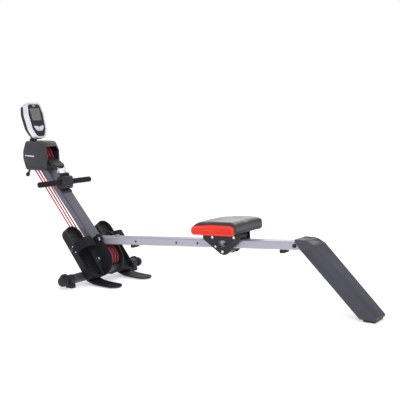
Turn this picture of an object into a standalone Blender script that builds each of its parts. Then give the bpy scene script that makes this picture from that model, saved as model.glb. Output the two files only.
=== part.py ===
"""Elastic-cord rowing machine: every piece as its own closed solid, in metres, +Z up.

The frame is built with X pointing rearward (towards the rear leg), Y across and Z up from the
floor. One parent empty moves the whole machine so that its bottom centre is the origin.
"""

import math

import bmesh
import bpy
from mathutils import Matrix, Vector

GAP = 0.0003
SHIFT_X = -0.513188

RAIL_WIDTH = 0.0687
RAIL_HEIGHT = 0.040
RAIL_START_Z = 0.2354
RAIL_SLOPE = 0.074
RAIL_FRONT_X = -0.010
RAIL_REAR_X = 1.250
RAIL_WALL = 0.0025
PIVOT = (0.016, 0.2265)

POST_WIDTH = 0.086
POST_DEPTH = 0.037
POST_WALL = 0.0025
POST_LEAN = math.radians(-41.51)
POST_MARK = (-0.150, 0.293)
POST_TOP = 0.390
POST_BOTTOM_Z = 0.208

CORD_RADIUS = 0.00375
CHORD_ROOM = 0.0010
CORD_OFFSETS = (-0.033, -0.011, 0.011, 0.033)
ROLLER_CENTRE = (-0.447, 0.655)
ROLLER_RUN = 0.058
DRUM_CENTRE = (0.012, 0.118)
DRUM_RUN = 0.068
DRUM_LEAVE = math.radians(440)
ANCHOR_RUN = 0.034
YOKE_START = (-0.376, 0.640)
YOKE_END = (-0.296, 0.598)

PLATE_INNER = 0.0433
PLATE_OUTER = 0.0493
STUB_CENTRE = (-0.003, 0.040)
STUB_RADIUS = 0.025
STUB_INNER = 0.0496
STUB_OUTER = 0.2755
CAP_INNER = 0.245
WHEEL_CENTRE = (-0.011, 0.046)
WHEEL_RADIUS = 0.029
WHEEL_Y = (0.2815, 0.3015)

HOUSING_HALF = 0.052
HOUSING_WALL = 0.003
CONSOLE_TILT = math.radians(-17)
HANDLE_AXIS = (-0.262, 0.516)
HANDLE_HALF = 0.206
BAR_RADIUS = 0.0125
GRIP_RADIUS = 0.0155
GRIP_START = 0.048

PEDAL_AXLE = (-0.055, 0.180)
PEDAL_LEAN = math.radians(-38)
PEDAL_MARK = (0.020, 0.058)
PEDAL_INNER = 0.075
PEDAL_OUTER = 0.183
PEDAL_LENGTH = 0.269

SEAT_HALF = 0.128
SEAT_OUTER = 0.1385
TOP_AXLES = (0.745, 0.867)
LOWER_AXLE = 0.798
SEAT_ROLLER = 0.015

LEG_HALF = 0.0555


def new_collection(name):
    """A collection linked under the scene."""
    made = bpy.data.collections.new(name)
    bpy.context.scene.collection.children.link(made)
    return made


for stale in list(bpy.data.objects):
    bpy.data.objects.remove(stale, do_unlink=True)

MACHINE = new_collection("rowing_machine")
CUTTERS = new_collection("cutters")
CUTTERS.hide_render = True
ROOT = bpy.data.objects.new("machine_origin", None)
ROOT.location = (SHIFT_X, 0, 0)
MACHINE.objects.link(ROOT)

LOOKS = {
    "silver_paint": ("painted_metal", (0.48, 0.49, 0.54), 0.35, 0.6),
    "pewter_paint": ("painted_metal", (0.17, 0.16, 0.21), 0.35, 0.6),
    "grey_paint": ("painted_metal", (0.11, 0.11, 0.14), 0.4, 0.5),
    "dark_paint": ("painted_metal", (0.055, 0.05, 0.065), 0.4, 0.3),
    "black_plastic": ("plastic", (0.03, 0.03, 0.032), 0.5, 0.0),
    "grey_plastic": ("plastic", (0.10, 0.10, 0.11), 0.45, 0.0),
    "silver_plastic": ("plastic", (0.55, 0.56, 0.58), 0.3, 0.3),
    "red_plastic": ("plastic", (0.80, 0.045, 0.03), 0.35, 0.0),
    "red_cord": ("fabric", (0.72, 0.02, 0.05), 0.75, 0.0),
    "black_webbing": ("fabric", (0.02, 0.02, 0.02), 0.85, 0.0),
    "black_foam": ("rubber", (0.025, 0.025, 0.027), 0.8, 0.0),
    "black_leather": ("leather", (0.03, 0.03, 0.033), 0.5, 0.0),
    "black_rubber": ("rubber", (0.02, 0.02, 0.02), 0.7, 0.0),
    "bright_steel": ("chrome", (0.75, 0.75, 0.77), 0.15, 1.0),
    "display_glass": ("glass", (0.30, 0.34, 0.30), 0.1, 0.0),
}
MATERIALS = {}
for slot, look in LOOKS.items():
    material = bpy.data.materials.new(slot)
    material.use_nodes = True
    shader = material.node_tree.nodes["Principled BSDF"]
    shader.inputs["Base Color"].default_value = (*look[1], 1.0)
    shader.inputs["Roughness"].default_value = look[2]
    shader.inputs["Metallic"].default_value = look[3]
    material.diffuse_color = (*look[1], 1.0)
    MATERIALS[slot] = material


def rounded(points, radius, steps=4):
    """The outline with each corner replaced by an arc, as (x, z) pairs."""
    count = len(points)
    radii = radius if isinstance(radius, (list, tuple)) else [radius] * count
    made = []
    for index, corner in enumerate(points):
        here = Vector(corner)
        back = Vector(points[index - 1]) - here
        ahead = Vector(points[(index + 1) % count]) - here
        size = radii[index]
        half = back.angle(ahead) / 2
        if size <= 0 or half > math.radians(88):
            made.append(tuple(here))
            continue
        reach = min(size / math.tan(half), 0.49 * min(back.length, ahead.length))
        size = reach * math.tan(half)
        centre = here + (back.normalized() + ahead.normalized()).normalized() * (size / math.sin(half))
        first = here + back.normalized() * reach - centre
        last = here + ahead.normalized() * reach - centre
        turn = first.angle_signed(last)
        for step in range(steps + 1):
            spin = Matrix.Rotation(-turn * step / steps, 2)
            made.append(tuple(centre + spin @ first))
    return made


def arc(centre, radius, start, end, steps):
    """Points on a circle from one angle to another, in degrees."""
    return [
        (
            centre[0] + radius * math.cos(math.radians(start + (end - start) * step / steps)),
            centre[1] + radius * math.sin(math.radians(start + (end - start) * step / steps)),
        )
        for step in range(steps + 1)
    ]


def frame_at(mark, lean):
    """A frame in the side plane: its origin on the mark, turned about Y."""
    return Matrix.Translation((mark[0], 0, mark[1])) @ Matrix.Rotation(lean, 4, "Y")


RAIL_FRAME = frame_at((0, RAIL_START_Z), -math.atan(RAIL_SLOPE))
POST_FRAME = frame_at(POST_MARK, POST_LEAN)
PEDAL_FRAME = frame_at(PEDAL_MARK, PEDAL_LEAN)


def rail_point(x, rise):
    """The (x, z) of a point above the rail's top line by a height along its normal."""
    spot = RAIL_FRAME @ Vector((x * math.hypot(1, RAIL_SLOPE), 0, rise))
    return (spot.x, spot.z)


def add(name, mesh, helper=False):
    """An object for the mesh, shaded smooth with its real edges kept sharp."""
    mesh.polygons.foreach_set("use_smooth", [True] * len(mesh.polygons))
    mesh.set_sharp_from_angle(angle=math.radians(32))
    made = bpy.data.objects.new(name, mesh)
    (CUTTERS if helper else MACHINE).objects.link(made)
    made.parent = ROOT
    if helper:
        made.display_type = "WIRE"
        made.hide_render = True
    return made


def settle(bm, name, matrix):
    """A mesh from the bmesh, moved, with its faces pointing outward."""
    bmesh.ops.remove_doubles(bm, verts=bm.verts, dist=1e-6)
    bmesh.ops.transform(bm, matrix=matrix, verts=bm.verts)
    bmesh.ops.recalc_face_normals(bm, faces=bm.faces)
    mesh = bpy.data.meshes.new(name)
    bm.to_mesh(mesh)
    bm.free()
    return mesh


def evaluated(source, name, matrix):
    """The mesh that a curve or a modified object makes, moved; the source is removed."""
    bpy.context.view_layer.update()
    graph = bpy.context.evaluated_depsgraph_get()
    mesh = bpy.data.meshes.new_from_object(source.evaluated_get(graph))
    bm = bmesh.new()
    bm.from_mesh(mesh)
    bpy.data.objects.remove(source, do_unlink=True)
    bpy.data.meshes.remove(mesh)
    return settle(bm, name, matrix)


def box(name, low, high, matrix=Matrix(), helper=False):
    """A box between two corners."""
    bm = bmesh.new()
    bmesh.ops.create_cube(bm, size=1)
    centre = (Vector(low) + Vector(high)) / 2
    size = Vector(high) - Vector(low)
    place = matrix @ Matrix.Translation(centre) @ Matrix.Diagonal((*size, 1))
    return add(name, settle(bm, name, place), helper)


def rod(name, start, end, radius, segments=20, helper=False):
    """A round bar between two points."""
    run = Vector(end) - Vector(start)
    bm = bmesh.new()
    bmesh.ops.create_cone(
        bm,
        cap_ends=True,
        segments=segments,
        radius1=radius,
        radius2=radius,
        depth=run.length,
    )
    middle = (Vector(start) + Vector(end)) / 2
    place = Matrix.Translation(middle) @ run.to_track_quat("Z", "Y").to_matrix().to_4x4()
    return add(name, settle(bm, name, place), helper)


def cross_rod(name, centre, low_y, high_y, radius, segments=20, helper=False):
    """A round bar along Y through an (x, z) centre."""
    return rod(
        name,
        (centre[0], low_y, centre[1]),
        (centre[0], high_y, centre[1]),
        radius,
        segments,
        helper,
    )


def outline_mesh(name, loops, thickness, matrix):
    """A flat 2-D outline, with any holes, given a thickness about its own plane."""
    curve = bpy.data.curves.new(name, "CURVE")
    curve.dimensions = "2D"
    curve.fill_mode = "BOTH"
    curve.extrude = thickness / 2
    for loop in loops:
        spline = curve.splines.new("POLY")
        spline.points.add(len(loop) - 1)
        for point, spot in zip(spline.points, loop):
            point.co = (spot[0], spot[1], 0, 1)
        spline.use_cyclic_u = True
    holder = bpy.data.objects.new(name + "_curve", curve)
    MACHINE.objects.link(holder)
    return evaluated(holder, name, matrix)


SIDE_ON = Matrix.Rotation(math.radians(90), 4, "X")


def plate(name, outline, low_y, high_y, helper=False, frame=Matrix(), holes=()):
    """A side-view (x, z) outline carried from one Y to another."""
    middle = Matrix.Translation((0, (low_y + high_y) / 2, 0))
    mesh = outline_mesh(name, [outline, *holes], high_y - low_y, frame @ middle @ SIDE_ON)
    return add(name, mesh, helper)


def bar(name, section, start, end, frame, helper=False, hole=None):
    """A straight length of a section drawn in the frame's XY plane, along the frame's Z."""
    loops = [section] if hole is None else [section, hole]
    middle = Matrix.Translation((0, 0, (start + end) / 2))
    return add(name, outline_mesh(name, loops, end - start, frame @ middle), helper)


def turned(name, profile, centre, segments=32, helper=False):
    """A closed (radius, y) profile turned about a line along Y through an (x, z) centre."""
    mesh = bpy.data.meshes.new(name)
    count = len(profile)
    edges = [(index, (index + 1) % count) for index in range(count)]
    mesh.from_pydata([(radius, 0, along) for radius, along in profile], edges, [])
    holder = bpy.data.objects.new(name + "_profile", mesh)
    MACHINE.objects.link(holder)
    screw = holder.modifiers.new("turn", "SCREW")
    screw.axis = "Z"
    screw.steps = segments
    screw.render_steps = segments
    screw.use_merge_vertices = True
    screw.merge_threshold = 0.00001
    place = Matrix.Translation((centre[0], 0, centre[1])) @ Matrix.Rotation(math.radians(-90), 4, "X")
    return add(name, evaluated(holder, name, place), helper)


def wire(name, points, radius, resolution=2, helper=False):
    """A round wire through the points, with closed ends."""
    curve = bpy.data.curves.new(name, "CURVE")
    curve.dimensions = "3D"
    curve.bevel_depth = radius
    curve.bevel_resolution = resolution
    curve.use_fill_caps = True
    spline = curve.splines.new("POLY")
    spline.points.add(len(points) - 1)
    for point, spot in zip(spline.points, points):
        point.co = (*spot, 1)
    holder = bpy.data.objects.new(name + "_curve", curve)
    MACHINE.objects.link(holder)
    return add(name, evaluated(holder, name, Matrix()), helper)


def soften(piece, width, segments=2, angle=40):
    """Rounds the sharp edges of a piece."""
    bevel = piece.modifiers.new("round", "BEVEL")
    bevel.width = width
    bevel.segments = segments
    bevel.limit_method = "ANGLE"
    bevel.angle_limit = math.radians(angle)
    bevel.harden_normals = False
    return piece


def combine(piece, others, operation):
    """Adds or takes away helper solids, in order."""
    for other in others:
        step = piece.modifiers.new(other.name, "BOOLEAN")
        step.operation = operation
        step.object = other
        step.solver = "EXACT"
    return piece


def cut(piece, *others):
    """Takes helper solids away from a piece."""
    return combine(piece, others, "DIFFERENCE")


def join(piece, *others):
    """Adds helper solids to a piece."""
    return combine(piece, others, "UNION")


def dress(piece, slot, origin=None):
    """Gives a piece its material and, when it moves, its origin on the joint's line."""
    piece.data.materials.clear()
    piece.data.materials.append(MATERIALS[slot])
    if origin is not None:
        spot = Vector((origin[0], 0, origin[1])) if len(origin) == 2 else Vector(origin)
        piece.data.transform(Matrix.Translation(-spot))
        piece.location = spot
    return piece


def rounded_bar(half_width, low, high, radius, steps=3):
    """A rounded rectangle: across Y by the second coordinate, the first from low to high."""
    corners = [(low, -half_width), (high, -half_width), (high, half_width), (low, half_width)]
    return rounded(corners, radius, steps)


# Front stabilizer, wheels, caps and feet.
SIDES = (("left", -1), ("right", 1))
for side, sign in SIDES:
    low, high = sorted((sign * STUB_INNER, sign * STUB_OUTER))
    ring = [
        (STUB_RADIUS, low),
        (STUB_RADIUS, high),
        (STUB_RADIUS - 0.002, high),
        (STUB_RADIUS - 0.002, low),
    ]
    dress(turned("stabilizer_tube_" + side, ring, STUB_CENTRE, 28), "grey_paint")

    low, high = sorted((sign * CAP_INNER, sign * 0.2795))
    sleeve = cross_rod("stabilizer_cap_" + side, STUB_CENTRE, low, high, 0.0275, 24)
    arm_low, arm_high = sorted((sign * 0.2765, sign * 0.2808))
    arm = plate(
        "cap_arm_" + side,
        rounded([(-0.028, 0.020), (0.020, 0.020), (0.020, 0.062), (-0.028, 0.062)], 0.012),
        arm_low,
        arm_high,
        helper=True,
    )
    seat_low, seat_high = sorted((sign * (CAP_INNER - 0.01), sign * (STUB_OUTER + GAP)))
    socket = cross_rod(
        "cap_socket_" + side, STUB_CENTRE, seat_low, seat_high, STUB_RADIUS + GAP, 36, True
    )
    base = plate(
        "cap_base_" + side,
        [(-0.020, 0.0063), (0.026, 0.0063), (0.024, 0.022), (-0.018, 0.022)],
        low,
        high,
        helper=True,
    )
    axle_low, axle_high = sorted((sign * 0.279, sign * 0.3065))
    stub_axle = cross_rod("cap_axle_" + side, WHEEL_CENTRE, axle_low, axle_high, 0.005, 16, True)
    ends = sorted((sign * 0.3035, sign * 0.3305))
    outer = cross_rod("end_cap_" + side, STUB_CENTRE, ends[0], ends[1], 0.0265, 24, True)
    soften(outer, 0.006, 2)
    dress(join(cut(join(sleeve, arm, base), socket), stub_axle, outer), "black_plastic")

    foot_low, foot_high = sorted((sign * 0.247, sign * 0.277))
    dress(
        soften(box("front_foot_" + side, (-0.019, foot_low, 0), (0.025, foot_high, 0.006)), 0.001),
        "black_rubber",
    )

    near, far = sorted((sign * WHEEL_Y[0], sign * WHEEL_Y[1]))
    tread = [
        (WHEEL_RADIUS - 0.003, near),
        (WHEEL_RADIUS, near + 0.003),
        (WHEEL_RADIUS, far - 0.003),
        (WHEEL_RADIUS - 0.003, far),
        (0.0053, far),
        (0.0053, near),
    ]
    dress(turned("transport_wheel_" + side, tread, WHEEL_CENTRE, 24), "black_rubber", WHEEL_CENTRE)

# Base bracket: two side plates, a curved guard and the bar that holds the cord ends.
SIDE_PLATE = (
    [(-0.026, 0.018), (0.026, 0.018)]
    + arc((0.018, 0.113), 0.090, -74, 55, 12)
    + arc(PIVOT, 0.028, -20, 150, 12)
    + [(-0.078, 0.196), (-0.078, 0.170), (-0.050, 0.160), (-0.026, 0.120)]
)
anchor_angle = DRUM_LEAVE
anchor_start = Vector(
    (
        DRUM_CENTRE[0] + DRUM_RUN * math.cos(anchor_angle),
        DRUM_CENTRE[1] + DRUM_RUN * math.sin(anchor_angle),
    )
)
anchor_way = Vector((-math.sin(anchor_angle), math.cos(anchor_angle)))
ANCHOR_FACE = anchor_start + anchor_way * ANCHOR_RUN
anchor_frame = frame_at(ANCHOR_FACE, -math.atan2(anchor_way.y, anchor_way.x))

bracket = plate("base_bracket", SIDE_PLATE, -PLATE_OUTER, -PLATE_INNER)
far_plate = plate("far_plate", SIDE_PLATE, PLATE_INNER, PLATE_OUTER, helper=True)
GUARD = arc((0.012, 0.118), 0.0865, -88, -20, 8) + arc((0.012, 0.118), 0.0825, -20, -88, 8)
guard = plate("drum_guard", GUARD, -0.0450, 0.0450, helper=True)
anchor = box(
    "cord_anchor",
    (GAP, -0.0450, -0.0042),
    (0.0085, 0.0450, 0.0042),
    anchor_frame,
    helper=True,
)
join(bracket, far_plate, guard, anchor)
for name, centre, radius in (
    ("pivot_bore", PIVOT, 0.0063),
    ("drum_bore", DRUM_CENTRE, 0.0063),
    ("pedal_bore", PEDAL_AXLE, 0.0063),
):
    cut(bracket, cross_rod(name, centre, -0.07, 0.07, radius, 24, helper=True))
dress(bracket, "grey_paint")

HEX = arc((0, 0), 0.0100, 0, 300, 5)
for name, centre, length in (
    ("drum_axle", DRUM_CENTRE, PLATE_OUTER + 0.003),
    ("rail_pivot_pin", PIVOT, PLATE_OUTER + 0.003),
):
    pin = cross_rod(name, centre, -length, length, 0.006, 24)
    head_outline = [(centre[0] + x, centre[1] + z) for x, z in HEX]
    for side, sign in SIDES:
        low, high = sorted((sign * (PLATE_OUTER + GAP), sign * (PLATE_OUTER + 0.0065)))
        join(pin, plate(name + "_head_" + side, head_outline, low, high, helper=True))
        if name == "rail_pivot_pin":
            low, high = sorted((sign * (RAIL_WIDTH / 2 + GAP), sign * (PLATE_INNER - GAP)))
            join(pin, cross_rod("rail_spacer_" + side, centre, low, high, 0.0125, 24, helper=True))
    dress(pin, "bright_steel")

pedal_axle = cross_rod("pedal_axle", PEDAL_AXLE, -0.1870, 0.1870, 0.006, 16)
for side, sign in SIDES:
    for index, (start, end, radius) in enumerate(
        ((PLATE_OUTER + GAP, 0.0560, 0.0095), (0.1834, 0.1875, 0.0105))
    ):
        low, high = sorted((sign * start, sign * end))
        join(
            pedal_axle,
            cross_rod(f"pedal_collar_{side}_{index}", PEDAL_AXLE, low, high, radius, 16, True),
        )
dress(pedal_axle, "bright_steel")

# Main post with the roller fork welded to its top.
SECTION = rounded_bar(POST_WIDTH / 2, 0, POST_DEPTH, 0.008)
INNER = rounded_bar(POST_WIDTH / 2 - POST_WALL, POST_WALL, POST_DEPTH - POST_WALL, 0.0055)
post = bar("main_post", SECTION, -0.16, POST_TOP, POST_FRAME, hole=INNER)
cut(post, box("post_foot_cut", (-0.3, -0.1, 0.0), (0.2, 0.1, POST_BOTTOM_Z), helper=True))
FORK = rounded(
    [(-0.4020, 0.5830), (-0.3740, 0.6020), (-0.4280, 0.6690), (-0.4620, 0.6740), (-0.4660, 0.6400)],
    [0.002, 0.002, 0.012, 0.012, 0.012],
)
for side, sign in SIDES:
    low, high = sorted((sign * 0.0398, sign * 0.0426))
    arm = plate("fork_arm_" + side, FORK, low, high, helper=True)
    join(post, arm)
cut(post, cross_rod("fork_bore", ROLLER_CENTRE, -0.06, 0.06, 0.0053, 20, helper=True))
dress(post, "pewter_paint")
dress(cross_rod("roller_axle", ROLLER_CENTRE, -0.0465, 0.0465, 0.005, 20), "bright_steel")


def grooved(name, centre, groove, flange, half_width, bore, segments):
    """A spool with one groove for each cord."""
    profile = [(flange, -half_width)]
    for offset in CORD_OFFSETS:
        profile.append((flange, offset - 0.0052))
        profile.append((groove, offset - 0.0042))
        profile.append((groove, offset + 0.0042))
        profile.append((flange, offset + 0.0052))
    profile += [(flange, half_width), (bore, half_width), (bore, -half_width)]
    return dress(turned(name, profile, centre, segments), "black_plastic", centre)


grooved("upper_roller", ROLLER_CENTRE, ROLLER_RUN - CORD_RADIUS - CHORD_ROOM, 0.0595, 0.0390, 0.0053, 24)
grooved("lower_drum", DRUM_CENTRE, DRUM_RUN - CORD_RADIUS - CHORD_ROOM, 0.0700, 0.0425, 0.0063, 28)


# Cords: from the yoke over the roller, down the front, round the drum and into the anchor bar.
def tangent_from(centre, radius, spot, side):
    """The angle on a circle where a line from an outside point touches it."""
    away = Vector(spot) - Vector(centre)
    return math.atan2(away.y, away.x) + side * math.acos(radius / away.length)


gap_line = Vector(DRUM_CENTRE) - Vector(ROLLER_CENTRE)
FRONT_ANGLE = math.atan2(gap_line.y, gap_line.x) - math.acos((ROLLER_RUN - DRUM_RUN) / gap_line.length)
YOKE_WAY = (Vector(YOKE_END) - Vector(YOKE_START)).normalized()
CORD_HEAD = Vector(YOKE_START) - YOKE_WAY * 0.0036
HEAD_ANGLE = tangent_from(ROLLER_CENTRE, ROLLER_RUN, CORD_HEAD, 1)


def on_circle(centre, radius, angle):
    """A point on a circle in the side plane."""
    return Vector((centre[0] + radius * math.cos(angle), centre[1] + radius * math.sin(angle)))


def along(start, end, pieces):
    """Evenly spaced points from start up to but not including the end."""
    return [start.lerp(end, step / pieces) for step in range(pieces)]


def cord_path():
    """The cords' route in the side plane."""
    front = FRONT_ANGLE % math.tau
    roller = [
        on_circle(ROLLER_CENTRE, ROLLER_RUN, HEAD_ANGLE + (front - HEAD_ANGLE) * step / 12)
        for step in range(13)
    ]
    drum = [
        on_circle(DRUM_CENTRE, DRUM_RUN, front + (DRUM_LEAVE - front) * step / 16)
        for step in range(17)
    ]
    last = ANCHOR_FACE
    path = along(CORD_HEAD, roller[0], 2) + roller[:-1]
    path += along(roller[-1], drum[0], 8) + drum[:-1]
    path += along(drum[-1], last, 2) + [last]
    return path


ROUTE = cord_path()
for index, offset in enumerate(CORD_OFFSETS):
    points = [(spot.x, offset, spot.y) for spot in ROUTE]
    dress(wire(f"cord_{index + 1}", points, CORD_RADIUS), "red_cord")

# Roller housing, moulded as two halves.
HOUSING = rounded(
    [
        (-0.508, 0.740), (-0.380, 0.740), (-0.352, 0.690), (-0.348, 0.600),
        (-0.362, 0.577), (-0.508, 0.577), (-0.531, 0.640), (-0.531, 0.680),
    ],
    [0.022, 0.030, 0.03, 0.014, 0.008, 0.020, 0.05, 0.05],
    3,
)
HOLLOW = [(x + (-0.445 - x) * 0.040, z + (0.6585 - z) * 0.042) for x, z in HOUSING]
hollow = plate(
    "housing_hollow", HOLLOW, -HOUSING_HALF + HOUSING_WALL, HOUSING_HALF - HOUSING_WALL, helper=True
)
mouth = box("housing_mouth", (-0.40, -0.0430, 0.608), (-0.32, 0.0430, 0.711), helper=True)
soften(mouth, 0.008, 3)
throat = box("cord_throat", (-0.482, -0.0395, 0.560), (-0.400, 0.0395, 0.600), helper=True)
CLEAR = rounded_bar(POST_WIDTH / 2 + 0.0004, -0.0004, POST_DEPTH + 0.0004, 0.008)
post_room = bar("post_room", CLEAR, 0.30, POST_TOP + 0.001, POST_FRAME, helper=True)
top_bore = box("neck_slot", (-0.5125, -0.0205, 0.725), (-0.4875, 0.0205, 0.760), helper=True)
for side, sign in SIDES:
    half = soften(plate("housing_" + side, HOUSING, -HOUSING_HALF, HOUSING_HALF), 0.007, 2, 50)
    low, high = sorted((-sign * 0.1, sign * 0.0002))
    other = box("housing_split_" + side, (-0.6, low, 0.5), (-0.3, high, 0.8), helper=True)
    cut(half, hollow, mouth, throat, post_room, top_bore, other)
    for number, (x, z) in enumerate(((-0.385, 0.718), (-0.500, 0.600), (-0.372, 0.598))):
        low, high = sorted((sign * (HOUSING_HALF - 0.0015), sign * (HOUSING_HALF + 0.01)))
        dimple = cross_rod(f"housing_dimple_{side}_{number}", (x, z), low, high, 0.005, 16, True)
        cut(half, dimple)
    dress(half, "grey_plastic")

dress(box("console_neck", (-0.512, -0.020, 0.7255), (-0.488, 0.020, 0.7533)), "black_plastic")
soften(bpy.data.objects["console_neck"], 0.004, 2)
peg = rod("hook_peg", (-0.524, 0, 0.586), (-0.546, 0, 0.550), 0.006, 16)
knob = rod("hook_knob", (-0.5445, 0, 0.5525), (-0.5540, 0, 0.5370), 0.0115, 20, True)
soften(knob, 0.003, 2)
clear_wall = plate("peg_clear", HOUSING, -0.06, 0.06, helper=True)
dress(cut(join(peg, knob), clear_wall), "black_plastic")

# Console: a tilted shield-shaped display in a silver body with a dark back.
CONSOLE_FRAME = Matrix.Translation((-0.4657, 0, 0.8560)) @ Matrix.Rotation(CONSOLE_TILT, 4, "Y")
FACE_ON = Matrix.Rotation(math.radians(90), 4, "Z") @ Matrix.Rotation(math.radians(90), 4, "X")
SHIELD = rounded(
    [
        (-0.052, 0.104), (0.052, 0.104), (0.066, 0.040), (0.060, -0.050),
        (0.034, -0.104), (-0.034, -0.104), (-0.060, -0.050), (-0.066, 0.040),
    ],
    [0.020, 0.020, 0.05, 0.05, 0.03, 0.03, 0.05, 0.05],
    3,
)


def shield(scale_y, scale_z, drop=0.0):
    """The console outline scaled about its centre."""
    return [(y * scale_y, z * scale_z + drop) for y, z in SHIELD]


def facing(name, outline, low, high, helper=False):
    """A face-on (y, z) outline with a depth along the console's own X."""
    middle = Matrix.Translation(((low + high) / 2, 0, 0))
    mesh = outline_mesh(name, [outline], high - low, CONSOLE_FRAME @ middle @ FACE_ON)
    return add(name, mesh, helper)


CONSOLE_AXIS = (-0.500, 0.7624)
console_back = facing("console_back", shield(0.94, 0.86, 0.006), -0.055, -0.030)
soften(console_back, 0.010, 2)
join(console_back, cross_rod("console_knuckle", CONSOLE_AXIS, -0.0165, 0.0165, 0.0085, 20, True))
dress(console_back, "grey_plastic", CONSOLE_AXIS)
bezel = soften(facing("console_bezel", shield(1, 1), -0.0297, 0.0), 0.007, 2)
panel_room = facing("panel_room", shield(0.86, 0.90), -0.004, 0.010, helper=True)
cut(bezel, panel_room)
dress(bezel, "silver_plastic", CONSOLE_AXIS)
face = facing("console_face", shield(0.852, 0.894), -0.0037, -0.0008)
DISPLAY = rounded([(-0.033, 0.010), (0.033, 0.010), (0.036, 0.066), (-0.036, 0.066)], 0.005, 3)
lcd_room = facing("lcd_room", DISPLAY, -0.010, 0.010, helper=True)
lcd = facing("lcd_window", [(y * 0.985, 0.038 + (z - 0.038) * 0.985) for y, z in DISPLAY], -0.0034, -0.0002)
dress(lcd, "display_glass", CONSOLE_AXIS)
cut(face, lcd_room)
for side, sign in SIDES:
    corners = [
        (sign * 0.003, -0.072), (sign * 0.003, -0.052), (sign * 0.034, -0.018), (sign * 0.036, -0.034),
        (sign * 0.014, -0.070),
    ]
    shape = rounded(corners if sign > 0 else corners[::-1], 0.003, 3)
    middle = Vector((sign * 0.018, -0.050))
    room = [tuple(middle + (Vector(spot) - middle) * 1.05) for spot in shape]
    cut(face, facing("button_room_" + side, room, -0.010, 0.010, helper=True))
    button = soften(facing("button_" + side, shape, -0.0012, 0.0032), 0.001, 2)
    dress(button, "silver_plastic", CONSOLE_AXIS)
dress(face, "grey_plastic", CONSOLE_AXIS)

# Handle: a steel bar in foam grips, its centre holder, strap, cord yoke and two snap hooks.
dress(
    soften(cross_rod("handle_bar", HANDLE_AXIS, -0.2025, 0.2025, BAR_RADIUS, 24), 0.001, 1),
    "bright_steel",
    HANDLE_AXIS,
)
for side, sign in SIDES:
    near, far = sorted((sign * GRIP_START, sign * HANDLE_HALF))
    inner = sign * GRIP_START
    outer = sign * HANDLE_HALF
    profile = [
        (BAR_RADIUS + GAP, inner),
        (GRIP_RADIUS, inner),
        (GRIP_RADIUS, outer - sign * 0.005),
        (GRIP_RADIUS - 0.0035, outer),
        (0.0, outer),
        (0.0, outer - sign * 0.0032),
        (BAR_RADIUS + GAP, outer - sign * 0.0032),
    ]
    dress(turned("grip_" + side, profile, HANDLE_AXIS, 24), "black_foam", HANDLE_AXIS)
HOLDER = rounded(
    [
        (-0.283, 0.478), (-0.248, 0.478), (-0.2425, 0.500), (-0.2425, 0.532),
        (-0.250, 0.549), (-0.276, 0.549), (-0.283, 0.530),
    ],
    0.008,
    3,
)
holder = soften(plate("handle_holder", HOLDER, -0.0445, 0.0445), 0.003, 2)
bar_room = cross_rod("holder_bore", HANDLE_AXIS, -0.06, 0.06, BAR_RADIUS + GAP, 24, True)
POST_CLEAR = bar("post_clearance", CLEAR, 0.0, 0.37, POST_FRAME, helper=True)
dress(cut(holder, bar_room, POST_CLEAR), "black_plastic", HANDLE_AXIS)

STRAP_LINE = [
    (-0.2625, 0.5495), (-0.2650, 0.5600), (-0.2740, 0.5665), (-0.2850, 0.5640),
    (-0.2840, 0.5615), (-0.2745, 0.5638), (-0.2672, 0.5585), (-0.2652, 0.5495),
]
strap = plate("pull_strap", STRAP_LINE, -0.0375, 0.0375)
dress(strap, "black_webbing", HANDLE_AXIS)

YOKE_FRAME = frame_at(YOKE_START, -math.atan2(YOKE_WAY.y, YOKE_WAY.x))
YOKE_LENGTH = (Vector(YOKE_END) - Vector(YOKE_START)).length
YOKE = rounded(
    [
        (0, -0.0385), (0.050, -0.0385), (YOKE_LENGTH, -0.032), (YOKE_LENGTH, 0.032),
        (0.050, 0.0385), (0, 0.0385),
    ],
    [0.006, 0.02, 0.008, 0.008, 0.02, 0.006],
    3,
)
yoke = bar("cord_yoke", YOKE, -0.0105, 0.0105, YOKE_FRAME)
dress(soften(yoke, 0.004, 2), "black_plastic", HANDLE_AXIS)
for side, sign in SIDES:
    y = sign * 0.0265
    hook_line = [
        (YOKE_END[0] + GAP + 0.0006, y, YOKE_END[1] - 0.0005),
        (YOKE_END[0] + 0.007, y, YOKE_END[1] - 0.004),
        (YOKE_END[0] + 0.011, y, YOKE_END[1] - 0.010),
        (YOKE_END[0] + 0.0150, y, YOKE_END[1] - 0.0160),
        (YOKE_END[0] + 0.0160, y, YOKE_END[1] - 0.0230),
        (YOKE_END[0] + 0.0120, y, YOKE_END[1] - 0.0290),
        (YOKE_END[0] + 0.0050, y, YOKE_END[1] - 0.0300),
        (YOKE_END[0] + 0.0010, y, YOKE_END[1] - 0.0250),
        (YOKE_END[0] + 0.0020, y, YOKE_END[1] - 0.0180),
    ]
    dress(wire("snap_hook_" + side, hook_line, 0.0024, 2), "bright_steel", HANDLE_AXIS)

CRADLE = rounded(
    [(-0.2735, 0.4530), (-0.2450, 0.4400), (-0.2450, 0.4680), (-0.2560, 0.4740), (-0.2890, 0.4720)],
    [0.001, 0.006, 0.003, 0.003, 0.001],
    2,
)
cradle = soften(plate("handle_cradle", CRADLE, -0.036, 0.036), 0.002, 2)
dress(cut(cradle, POST_CLEAR), "black_plastic")


def pedal_slab(name, outline, low, high, stand, helper=True):
    """A foot-side (y, along) outline with a thickness along the pedal's normal."""
    place = PEDAL_FRAME @ Matrix.Translation(((low + high) / 2, 0, 0)) @ PEDAL_FRAME.inverted() @ stand
    return add(name, outline_mesh(name, [outline], high - low, place), helper)


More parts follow.
